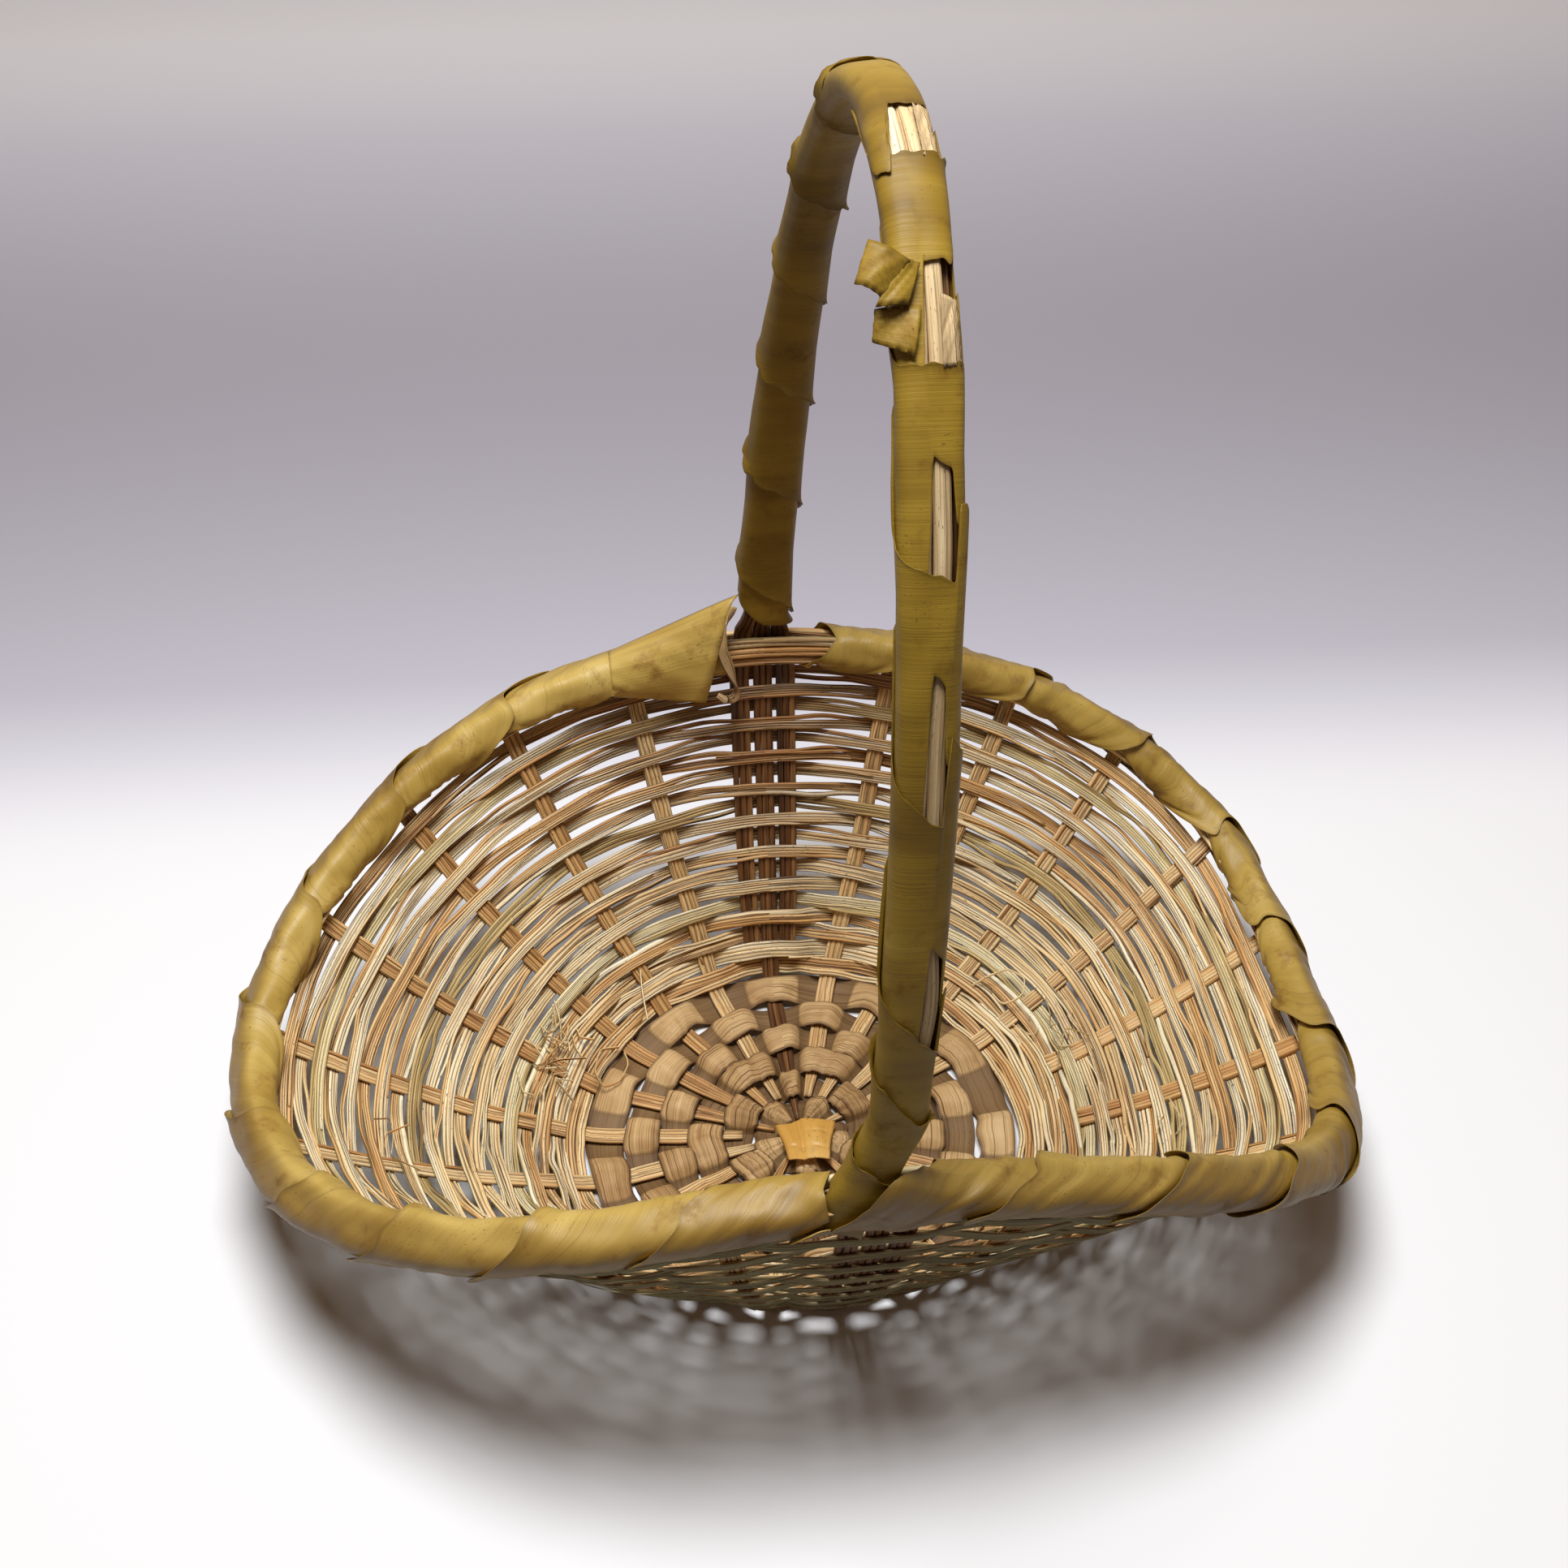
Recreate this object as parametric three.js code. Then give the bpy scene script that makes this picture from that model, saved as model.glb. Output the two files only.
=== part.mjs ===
// Oval basket with a tall arched handle, woven from palm splints over flat splint stakes.
// Millimetres, +Z up, +X along the bowl, the front is -Y. The origin is on the ground under the
// middle of the rim. Stations are counted anticlockwise from the back foot of the handle.
import * as THREE from 'three';

// Rim outline, taken at the middle of the rim bundle
const RIM_HALF_LENGTH = 200;
const RIM_HALF_DEPTH = 137;
const RIM_HEIGHT_MIDDLE = 136;
const RIM_HEIGHT_LEFT = 57;
const RIM_HEIGHT_RIGHT = 49.5;
const RIM_DIP_POWER = 1.88;
const RIM_SQUARENESS = 2.8;
const RIM_SQUARENESS_BIAS = 0.7;
const RIM_END_SHIFT = 8.5;

// How finely a curve's length is measured, and the nudge, in stations, that finds its direction
const LENGTH_DIVISIONS = 600;
const STATION_NUDGE = 0.02;

// Bowl and base
const BASE_RADIUS = 80;
const BASE_OFFSET_X = 4;
const BASE_OFFSET_Y = -4;
const WALL_BULGE = 6;
const KNEE_LENGTH = 6;

// Stakes that radiate over the base and climb the wall
const STATIONS = 22;
const STAKE_WIDTH = 7.3;
const STAKE_THICKNESS = 2.2;
const STAKE_INNER_RADIUS = 8;
const SHORT_STAKE_INNER_RADIUS = 19;
const CENTRE_STATIONS = [0, 2, 4, 7, 9, 11, 13, 15, 18, 20];
const STAKE_CROWDING = 0.55;
const STAKE_TOP = 5.5;
const WALL_STEPS = 6;
const INSERTED_STAKES = [16, 17];
const INSERTED_STAKE_START = 20;

// Wall weavers
const WALL_ROWS = 21;
const TOP_ROWS = 2;
const WEAVER_WIDTH = 4.5;
const WEAVER_THICKNESS = 1.8;
const FIRST_ROW_DISTANCE = 9;
const TOP_ROW_OFFSET = 3.2;
const GREEN_ROW_EVERY = 6;
const GREEN_ROW_FIRST = 4;
const STATIONS_BESIDE_HANDLE = 1;
const EDGE_MARGIN = 0.5;
const CLEARANCE = 0.3;
const WEAVER_CLEARANCE = 0.5;

// Leaf strips woven round the base
const LEAF_THICKNESS = 1;
const LEAF_ROUNDS = 5;
const LEAF_ROUND_GAP = 1.5;
const KNEE_LEAF_GAP = 3;
const LAST_PAIRED_ROUND = 2;
const KNEE_LEAF_START = 9;
const KNEE_CLEARANCE = 0.6;
const PATCH_LENGTH = 26;
const PATCH_WIDTH = 20;
const PATCH_RISE = 1.2;
const PATCH_STEPS = 6;

// Reeds and hoop inside the rim binding
const REED_HEIGHT = 3.6;
const REED_THICKNESS = 2.8;
const MIDDLE_REED_THICKNESS = 3.8;
const REED_CENTRE = 0.6;
const HOOP_HEIGHT = 9.6;
const HOOP_THICKNESS = 3;

// Handle strips, core sticks and arch
const HANDLE_HEIGHT = 433;
const HANDLE_FOOT_X = 9;
const HANDLE_LEAN = 16;
const HANDLE_START = 9;
const HANDLE_STRIP_WIDTH_LOW = 6.8;
const HANDLE_STRIP_WIDTH_RIM = 9.3;
const HANDLE_STRIP_WIDTH_GRIP = 4.9;
const HANDLE_STRIP_THICKNESS = 2.6;
const HANDLE_STRIP_DEPTH_GRIP = 4;
const SIDE_STRIP_START = 16;
const GATHER_LENGTH = 38;
const GATHER_STEPS = 3;
const GATHER_MARGIN = 0.3;
const CORE_STICK_WIDTH = 5;
const CORE_STICK_DEPTH = 4;
const HANDLE_STEPS = 30;

// Leaf ribbons wound round the rim and the handle
const RIBBON_THICKNESS = 0.8;
const RIBBON_TURN_GAP = 1.2;
const RIM_RIBBON_CLEARANCE = 1.3;
const RIM_RIBBON_PASS_WIDTH = 15;
const RIM_RIBBON_PASS_ROOM = 1.4;
const RIM_RIBBON_HEAD_ROOM = 1.9;
const RIM_RIBBON_SHOULDER_ROOM = 1;
const RIM_RIBBON_CHAMFER = 2.25;
const RIM_RIBBON_COLUMNS = 3;
const HANDLE_RIBBON_TURNS = 13;
const HANDLE_RIBBON_CLEARANCE = 1.25;
const HANDLE_RIBBON_CHAMFER = 1.2;
const HANDLE_RIBBON_COLUMNS = 5;
const RIBBON_END_WIDTH = 6;

// Surfaces
const STRAW = new THREE.Color(0.78, 0.62, 0.38);
const STRAW_GREEN = new THREE.Color(0.7, 0.68, 0.45);
const STAKE_TAN = new THREE.Color(0.66, 0.45, 0.24);
const LEAF_BROWN = new THREE.Color(0.5, 0.38, 0.25);
const STRIP_BROWN = new THREE.Color(0.26, 0.15, 0.07);
const PALE_WOOD = new THREE.Color(0.8, 0.68, 0.46);
const PALM_GREEN = new THREE.Color(0.62, 0.57, 0.26);
const PATCH_YELLOW = new THREE.Color(0.72, 0.5, 0.18);
const DRY_ROUGHNESS = 0.75;
const LEAF_ROUGHNESS = 0.5;

// Heights and offsets that follow from the sizes above
const STAKE_LEVEL = LEAF_THICKNESS + CLEARANCE + STAKE_THICKNESS / 2;
const LEAF_OFFSET = (STAKE_THICKNESS + LEAF_THICKNESS) / 2 + CLEARANCE;
const LEAF_REACH = BASE_RADIUS - KNEE_LEAF_START - KNEE_LEAF_GAP;
const LEAF_PITCH = (LEAF_REACH + LEAF_ROUND_GAP / 2) / (LEAF_ROUNDS + 0.5);
const LEAF_WIDTH = LEAF_PITCH - LEAF_ROUND_GAP;
const THICKEST_STAKE = Math.max(STAKE_THICKNESS, HANDLE_STRIP_THICKNESS);
const REED_START = THICKEST_STAKE / 2 + WEAVER_CLEARANCE + WEAVER_THICKNESS + CLEARANCE;
const REED_PITCH = REED_HEIGHT + CLEARANCE;
const BUNDLE_HALF = REED_START + MIDDLE_REED_THICKNESS + RIM_RIBBON_CLEARANCE + RIBBON_THICKNESS / 2;
const PASS_LEVEL = -(TOP_ROW_OFFSET + WEAVER_WIDTH / 2 + RIM_RIBBON_PASS_ROOM + RIBBON_THICKNESS / 2);
const NEXT_ROW_OFFSET = 2 * PASS_LEVEL + TOP_ROW_OFFSET;
const BUNDLE_FLAT = BUNDLE_HALF - RIM_RIBBON_CHAMFER;
const BUNDLE_SHOULDER = REED_CENTRE + REED_HEIGHT / 2 + RIM_RIBBON_SHOULDER_ROOM;
const BUNDLE_TOP = REED_CENTRE + REED_PITCH + REED_HEIGHT / 2 + RIM_RIBBON_HEAD_ROOM + RIBBON_THICKNESS / 2;
const HALF_TURN = STATIONS / 2;
const SPACED_ROWS = WALL_ROWS - TOP_ROWS;

// Rim and wall surface

function signedPower(value, power) {
  return Math.sign(value) * Math.abs(value) ** power;
}

// A superellipse, squarer at the right end, whose height dips towards both ends.
function rimPoint(angle) {
  const squareness = RIM_SQUARENESS + RIM_SQUARENESS_BIAS * Math.cos(angle);
  const reach = signedPower(Math.cos(angle), 2 / squareness);
  const depth = signedPower(Math.sin(angle), 2 / squareness);
  const low = reach < 0 ? RIM_HEIGHT_LEFT : RIM_HEIGHT_RIGHT;
  return new THREE.Vector3(
    RIM_HALF_LENGTH * reach,
    RIM_HALF_DEPTH * depth + RIM_END_SHIFT * reach * reach,
    low + (RIM_HEIGHT_MIDDLE - low) * (1 - Math.abs(reach) ** RIM_DIP_POWER),
  );
}

class RimSide extends THREE.Curve {
  constructor(startAngle, endAngle) {
    super();
    this.startAngle = startAngle;
    this.endAngle = endAngle;
    this.arcLengthDivisions = LENGTH_DIVISIONS;
  }

  getPoint(fraction) {
    return rimPoint(THREE.MathUtils.lerp(this.startAngle, this.endAngle, fraction));
  }
}

const footAngle = Math.acos((HANDLE_FOOT_X / RIM_HALF_LENGTH) ** (RIM_SQUARENESS / 2));
const leftSide = new RimSide(footAngle, 2 * Math.PI - footAngle);
const rightSide = new RimSide(-footAngle, footAngle);

function rimAt(station) {
  const wrapped = THREE.MathUtils.euclideanModulo(station, STATIONS);
  const side = wrapped < HALF_TURN ? leftSide : rightSide;
  return side.getPointAt((wrapped % HALF_TURN) / HALF_TURN);
}

function basePoint(station, radius) {
  const angle = Math.PI / 2 + (2 * Math.PI * station) / STATIONS;
  return new THREE.Vector3(
    BASE_OFFSET_X + radius * Math.cos(angle),
    BASE_OFFSET_Y + radius * Math.sin(angle),
    STAKE_LEVEL,
  );
}

// The wall profile at a station: one arc from the base edge to the rim, bowed outwards.
function wallProfile(station) {
  const foot = basePoint(station, BASE_RADIUS);
  const rim = rimAt(station);
  const chord = rim.clone().sub(foot);
  const run = Math.hypot(chord.x, chord.y);
  const length = chord.length();
  const outwards = new THREE.Vector3(
    (chord.x / run) * (chord.z / length),
    (chord.y / run) * (chord.z / length),
    -run / length,
  );
  const bow = foot.clone().add(rim).multiplyScalar(0.5).addScaledVector(outwards, 2 * WALL_BULGE);
  return { curve: new THREE.QuadraticBezierCurve3(foot, bow, rim), length };
}

// A frame on the wall: along climbs the wall, across follows the rim, normal points outside.
function wallFrame(station, height) {
  const { curve } = wallProfile(station);
  const before = wallProfile(station - STATION_NUDGE).curve.getPoint(height);
  const after = wallProfile(station + STATION_NUDGE).curve.getPoint(height);
  const along = curve.getTangent(height);
  const across = after.sub(before);
  across.addScaledVector(along, -across.dot(along)).normalize();
  const normal = across.clone().cross(along);
  return { point: curve.getPoint(height), along, across, normal };
}

function baseFrame(station, radius) {
  const angle = Math.PI / 2 + (2 * Math.PI * station) / STATIONS;
  return {
    point: basePoint(station, radius),
    along: new THREE.Vector3(Math.cos(angle), Math.sin(angle), 0),
    across: new THREE.Vector3(-Math.sin(angle), Math.cos(angle), 0),
    normal: new THREE.Vector3(0, 0, -1),
  };
}

// The same frame after a move by its own directions.
function shifted(frame, { out = 0, up = 0, side = 0 }) {
  const point = frame.point.clone()
    .addScaledVector(frame.normal, out)
    .addScaledVector(frame.along, up)
    .addScaledVector(frame.across, side);
  return { ...frame, point };
}

// Meshes made of sections

// Four corners of a flat section that lies across the frame, as a stake's does.
function acrossSection(frame, width, thickness) {
  const [halfWidth, halfThickness] = [width / 2, thickness / 2];
  const corner = (side, out) => shifted(frame, { side: side * halfWidth, out: out * halfThickness }).point;
  return [corner(-1, 1), corner(1, 1), corner(1, -1), corner(-1, -1)];
}

// Four corners of a flat section that stands along the frame, as a weaver's does.
function alongSection(frame, width, thickness) {
  const [halfWidth, halfThickness] = [width / 2, thickness / 2];
  const corner = (up, out) => shifted(frame, { up: up * halfWidth, out: out * halfThickness }).point;
  return [corner(-1, 1), corner(1, 1), corner(1, -1), corner(-1, -1)];
}

function signedVolume(positions, index) {
  const [a, b, c] = [new THREE.Vector3(), new THREE.Vector3(), new THREE.Vector3()];
  let volume = 0;
  for (let i = 0; i < index.length; i += 3) {
    a.fromArray(positions, 3 * index[i]);
    b.fromArray(positions, 3 * index[i + 1]);
    c.fromArray(positions, 3 * index[i + 2]);
    volume += a.dot(b.cross(c)) / 6;
  }
  return volume;
}

// Joins equal sections into one closed body, as a ring or with a cap at each end.
// A section lists its outer side one way and its inner side back again.
function sweep(sections, closed) {
  const size = sections[0].length;
  const count = sections.length;
  const positions = sections.flat().flatMap((point) => point.toArray());
  const index = [];
  const spans = closed ? count : count - 1;
  for (let i = 0; i < spans; i += 1) {
    const here = i * size;
    const next = ((i + 1) % count) * size;
    for (let j = 0; j < size; j += 1) {
      const k = (j + 1) % size;
      index.push(here + j, here + k, next + k, here + j, next + k, next + j);
    }
  }
  if (!closed) {
    const last = (count - 1) * size;
    for (let j = 0; j < size / 2 - 1; j += 1) {
      const [a, b, c, d] = [j, j + 1, size - 2 - j, size - 1 - j];
      index.push(a, c, b, a, d, c);
      index.push(last + a, last + b, last + c, last + a, last + c, last + d);
    }
  }
  if (signedVolume(positions, index) < 0) {
    index.reverse();
  }
  const geometry = new THREE.BufferGeometry();
  geometry.setAttribute('position', new THREE.Float32BufferAttribute(positions, 3));
  geometry.setIndex(index);
  geometry.computeVertexNormals();
  return geometry;
}

const basket = new THREE.Group();

function addPiece(name, geometry, color, roughness) {
  const material = new THREE.MeshStandardMaterial({ color, roughness, metalness: 0 });
  const mesh = new THREE.Mesh(geometry, material);
  mesh.name = name;
  basket.add(mesh);
}

function numbered(stem, number) {
  return `${stem}_${String(number).padStart(2, '0')}`;
}

// What stands at a station: one stake, or the three strips that run on into the handle

function isHandle(station) {
  return station % HALF_TURN === 0;
}

function handleStripWidth(height) {
  return THREE.MathUtils.lerp(HANDLE_STRIP_WIDTH_LOW, HANDLE_STRIP_WIDTH_RIM, height);
}

function wallHalfWidth(station, height) {
  if (isHandle(station)) {
    return 1.5 * handleStripWidth(height) + CLEARANCE;
  }
  return STAKE_WIDTH / 2;
}

function wallThickness(station) {
  return isHandle(station) ? HANDLE_STRIP_THICKNESS : STAKE_THICKNESS;
}

function baseStripWidth(station, radius) {
  const full = isHandle(station) ? HANDLE_STRIP_WIDTH_LOW : STAKE_WIDTH;
  return Math.min(full, (STAKE_CROWDING * 2 * Math.PI * radius) / STATIONS);
}

// The frame half way round the knee, where the base turns up into the wall.
function kneeFrame(station) {
  const { curve, length } = wallProfile(station);
  const before = baseFrame(station, BASE_RADIUS - KNEE_LENGTH);
  const after = wallFrame(station, KNEE_LENGTH / length);
  const point = before.point.clone().add(after.point).multiplyScalar(0.25).addScaledVector(curve.v0, 0.5);
  const along = before.along.clone().add(after.along).normalize();
  const across = before.across.clone().add(after.across);
  across.addScaledVector(along, -across.dot(along)).normalize();
  return { point, along, across, normal: across.clone().cross(along) };
}

// Sections from the middle of the base to the foot of the wall, thickening to the strip's own.
// Every other stake stops short of the crowded middle.
function baseSections(station, thickness) {
  const crowded = (STAKE_WIDTH * STATIONS) / (2 * Math.PI * STAKE_CROWDING);
  const flatRadius = BASE_RADIUS - KNEE_LENGTH;
  const innerRadius = CENTRE_STATIONS.includes(station) ? STAKE_INNER_RADIUS : SHORT_STAKE_INNER_RADIUS;
  const radii = [innerRadius, Math.min(crowded, flatRadius - KNEE_LENGTH), flatRadius];
  const sections = radii.map((radius) => (
    acrossSection(baseFrame(station, radius), baseStripWidth(station, radius), STAKE_THICKNESS)
  ));
  const width = isHandle(station) ? HANDLE_STRIP_WIDTH_LOW : STAKE_WIDTH;
  sections.push(acrossSection(kneeFrame(station), width, (STAKE_THICKNESS + thickness) / 2));
  return sections;
}

// Stakes

function wallHeights(station, startDistance) {
  const start = startDistance / wallProfile(station).length;
  return Array.from({ length: WALL_STEPS }, (_, i) => THREE.MathUtils.lerp(start, 1, i / (WALL_STEPS - 1)));
}

function stakeSections(station) {
  const inserted = INSERTED_STAKES.includes(station);
  const sections = inserted ? [] : baseSections(station, STAKE_THICKNESS);
  const start = inserted ? INSERTED_STAKE_START : KNEE_LENGTH;
  for (const height of wallHeights(station, start)) {
    sections.push(acrossSection(wallFrame(station, height), STAKE_WIDTH, STAKE_THICKNESS));
  }
  const top = shifted(wallFrame(station, 1), { up: STAKE_TOP });
  sections.push(acrossSection(top, STAKE_WIDTH, STAKE_THICKNESS));
  return sections;
}

for (let station = 1; station < STATIONS; station += 1) {
  if (!isHandle(station)) {
    addPiece(numbered('stake', station), sweep(stakeSections(station), false), STAKE_TAN, DRY_ROUGHNESS);
  }
}

// Rings woven outside one stake and inside the next

const singles = Array.from({ length: STATIONS }, (_, station) => [station]);

// The innermost round of the base weaves the stakes that reach the middle, one by one. The next two
// weave the stakes in pairs, and each handle strip alone.
const centreSingles = CENTRE_STATIONS.map((station) => [station]);
const pairs = [[0]];
for (let station = 1; station < STATIONS; station += 2) {
  if (station === HALF_TURN) {
    pairs.push([HALF_TURN]);
    station += 1;
  }
  pairs.push([station, station + 1]);
}

// Half of what stands at a station, and a margin, in stations as seen from the middle of the base.
function reachOnBase(station, radius) {
  const reach = baseStripWidth(station, radius) / 2 + EDGE_MARGIN;
  return (Math.asin(reach / radius) * STATIONS) / (2 * Math.PI);
}

// The round's sections point to the middle and stand clear of the stakes at the round's inner edge.
function leafRound(radius, groups, phase) {
  const innerEdge = radius - LEAF_WIDTH / 2;
  const sections = groups.flatMap((group, i) => {
    const out = ((i + phase) % 2 === 0 ? 1 : -1) * LEAF_OFFSET;
    const [first, last] = [group[0], group[group.length - 1]];
    const places = [first - reachOnBase(first, innerEdge), last + reachOnBase(last, innerEdge)];
    return places.map((place) => (
      alongSection(shifted(baseFrame(place, radius), { out }), LEAF_WIDTH, LEAF_THICKNESS)
    ));
  });
  return sweep(sections, true);
}

for (let round = 0; round < LEAF_ROUNDS; round += 1) {
  const outerGroups = round <= LAST_PAIRED_ROUND ? pairs : singles;
  const groups = round === 0 ? centreSingles : outerGroups;
  const geometry = leafRound((round + 1) * LEAF_PITCH, groups, round);
  addPiece(numbered('base_leaf_strip', round + 1), geometry, LEAF_BROWN, DRY_ROUGHNESS);
}

// The last leaf strip bends up with the knee: its section runs over the base, the knee and the wall.
function kneeLeafRound() {
  const sections = singles.flatMap(([station]) => {
    const side = station % 2 === 0 ? -1 : 1;
    const reach = (isHandle(station) ? HANDLE_STRIP_WIDTH_LOW : STAKE_WIDTH) / 2 + EDGE_MARGIN;
    const onBase = side * LEAF_OFFSET;
    const onWall = side * ((wallThickness(station) + LEAF_THICKNESS) / 2 + KNEE_CLEARANCE);
    const frames = [
      shifted(baseFrame(station, BASE_RADIUS - KNEE_LEAF_START), { out: onBase }),
      shifted(baseFrame(station, BASE_RADIUS - KNEE_LENGTH), { out: onBase }),
      shifted(kneeFrame(station), { out: (onBase + onWall) / 2 }),
      shifted(wallFrame(station, KNEE_LENGTH / wallProfile(station).length), { out: onWall }),
    ];
    return [-reach, reach].map((across) => {
      const lifted = (lift) => frames.map((frame) => shifted(frame, { side: across, out: lift }).point);
      return [...lifted(LEAF_THICKNESS / 2), ...lifted(-LEAF_THICKNESS / 2).reverse()];
    });
  });
  return sweep(sections, true);
}

addPiece(numbered('base_leaf_strip', LEAF_ROUNDS + 1), kneeLeafRound(), LEAF_BROWN, DRY_ROUGHNESS);

// A folded scrap of leaf lies on the innermost round in the middle of the base.
function centrePatch() {
  const level = STAKE_LEVEL + LEAF_OFFSET + LEAF_THICKNESS + CLEARANCE;
  const sections = Array.from({ length: PATCH_STEPS + 1 }, (_, i) => {
    const reach = (2 * i) / PATCH_STEPS - 1;
    const frame = {
      point: new THREE.Vector3(
        BASE_OFFSET_X + (reach * PATCH_LENGTH) / 2,
        BASE_OFFSET_Y,
        level + PATCH_RISE * (1 - reach * reach),
      ),
      along: new THREE.Vector3(1, 0, 0),
      across: new THREE.Vector3(0, 1, 0),
      normal: new THREE.Vector3(0, 0, 1),
    };
    return acrossSection(frame, PATCH_WIDTH, LEAF_THICKNESS);
  });
  return sweep(sections, false);
}

addPiece('centre_leaf_patch', centrePatch(), PATCH_YELLOW, LEAF_ROUGHNESS);

// A weaver bends round both edges of a stake that it passes outside. Inside a stake it keeps one
// section, set in far enough to clear the edges, except beside the broad handle strips.
function wallRow(row) {
  const fraction = row / (SPACED_ROWS - 1);
  const sections = singles.flatMap(([station]) => {
    const side = (station + row) % 2 === 0 ? 1 : -1;
    const { length } = wallProfile(station);
    const distance = THREE.MathUtils.lerp(FIRST_ROW_DISTANCE, length + NEXT_ROW_OFFSET, fraction);
    const height = distance / length;
    const frame = wallFrame(station, height);
    const out = (wallThickness(station) + WEAVER_THICKNESS) / 2 + WEAVER_CLEARANCE;
    const fromHandle = Math.min(station % HALF_TURN, HALF_TURN - (station % HALF_TURN));
    if (side > 0 || fromHandle <= STATIONS_BESIDE_HANDLE) {
      const reach = wallHalfWidth(station, height) + EDGE_MARGIN;
      return [-reach, reach].map((across) => (
        alongSection(shifted(frame, { side: across, out: side * out }), WEAVER_WIDTH, WEAVER_THICKNESS)
      ));
    }
    const before = wallFrame(station - 0.5, height).point;
    const spacing = before.distanceTo(wallFrame(station + 0.5, height).point);
    const edgeShare = (STAKE_WIDTH / 2 + EDGE_MARGIN) / (spacing - STAKE_WIDTH / 2 - EDGE_MARGIN);
    const inset = (out * (1 + edgeShare)) / (1 - edgeShare);
    return [alongSection(shifted(frame, { out: -inset }), WEAVER_WIDTH, WEAVER_THICKNESS)];
  });
  return sweep(sections, true);
}

for (let row = 0; row < SPACED_ROWS; row += 1) {
  const color = row % GREEN_ROW_EVERY === GREEN_ROW_FIRST ? STRAW_GREEN : STRAW;
  addPiece(numbered('wall_weaver', row + 1), wallRow(row), color, DRY_ROUGHNESS);
}

// Rim bundle: the two top weavers, three reeds inside them and a hoop outside

// Frames round the rim: both edges of each station and the middle of each space between.
const rimFrames = singles.flatMap(([station]) => {
  const frame = wallFrame(station, 1);
  const reach = wallHalfWidth(station, 1) + EDGE_MARGIN;
  return [
    { ...shifted(frame, { side: -reach }), station, onStake: true },
    { ...shifted(frame, { side: reach }), station, onStake: true },
    { ...wallFrame(station + 0.5, 1), station, onStake: false },
  ];
});

function topRow(row, up) {
  const sections = rimFrames.map((frame) => {
    const side = (frame.station + row) % 2 === 0 ? 1 : -1;
    const clear = (wallThickness(frame.station) + WEAVER_THICKNESS) / 2 + WEAVER_CLEARANCE;
    const out = frame.onStake ? side * clear : 0;
    return alongSection(shifted(frame, { up, out }), WEAVER_WIDTH, WEAVER_THICKNESS);
  });
  return sweep(sections, true);
}

[-TOP_ROW_OFFSET, TOP_ROW_OFFSET].forEach((up, i) => {
  const row = SPACED_ROWS + i;
  addPiece(numbered('wall_weaver', row + 1), topRow(row, up), STRAW, DRY_ROUGHNESS);
});

function rimHoop(side, up, height, thickness) {
  const out = side * (REED_START + thickness / 2);
  const sections = rimFrames.map((frame) => alongSection(shifted(frame, { up, out }), height, thickness));
  return sweep(sections, true);
}

const lowReed = rimHoop(-1, REED_CENTRE - REED_PITCH, REED_HEIGHT, REED_THICKNESS);
const middleReed = rimHoop(-1, REED_CENTRE, REED_HEIGHT, MIDDLE_REED_THICKNESS);
const topReed = rimHoop(-1, REED_CENTRE + REED_PITCH, REED_HEIGHT, REED_THICKNESS);
const outerHoop = rimHoop(1, REED_CENTRE, HOOP_HEIGHT, HOOP_THICKNESS);
addPiece('rim_reed_low', lowReed, STRAW, DRY_ROUGHNESS);
addPiece('rim_reed_middle', middleReed, STAKE_TAN, DRY_ROUGHNESS);
addPiece('rim_reed_top', topReed, STRAW_GREEN, DRY_ROUGHNESS);
addPiece('rim_outer_hoop', outerHoop, STAKE_TAN, DRY_ROUGHNESS);

// Handle: a path up the back wall, over the arch and down the front wall

const backRim = wallFrame(0, 1);
const frontRim = wallFrame(HALF_TURN, 1);
const backFoot = shifted(backRim, { up: HANDLE_START }).point;
const frontFoot = shifted(frontRim, { up: HANDLE_START }).point;

// A half ellipse between the two feet that leans sideways as it rises.
function archPoint(fraction) {
  const angle = Math.PI * fraction;
  const point = backFoot.clone().lerp(frontFoot, (1 - Math.cos(angle)) / 2);
  point.z += (HANDLE_HEIGHT - point.z) * Math.sin(angle);
  point.x += HANDLE_LEAN * Math.sin(angle);
  return point;
}

class Arch extends THREE.Curve {
  constructor() {
    super();
    this.arcLengthDivisions = LENGTH_DIVISIONS;
  }

  getPoint(fraction) {
    return archPoint(fraction);
  }
}

const arch = new Arch();
const archLength = arch.getLength();

function archFrame(fraction) {
  const along = arch.getTangentAt(fraction);
  const across = new THREE.Vector3(-1, 0, 0);
  across.addScaledVector(along, -across.dot(along)).normalize();
  return { point: arch.getPointAt(fraction), along, across, normal: across.clone().cross(along) };
}

// How far the strips have gathered from flat on the wall, 0, to round in the grip, 1.
function gathered(fraction) {
  const distance = Math.min(fraction, 1 - fraction) * archLength;
  return THREE.MathUtils.smoothstep(distance, 0, GATHER_LENGTH);
}

function archStripWidth(fraction) {
  return THREE.MathUtils.lerp(HANDLE_STRIP_WIDTH_RIM, HANDLE_STRIP_WIDTH_GRIP, gathered(fraction));
}

function archStripThickness(fraction) {
  return THREE.MathUtils.lerp(HANDLE_STRIP_THICKNESS, HANDLE_STRIP_DEPTH_GRIP, gathered(fraction));
}

// The strips sink towards the inside of the arch, and the core sticks lie on their outside.
function archStripOut(fraction) {
  return (-gathered(fraction) * (CORE_STICK_DEPTH + CLEARANCE)) / 2;
}

function coreStickOut(fraction) {
  return archStripOut(fraction) + (archStripThickness(fraction) + CORE_STICK_DEPTH) / 2 + CLEARANCE;
}

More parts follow.
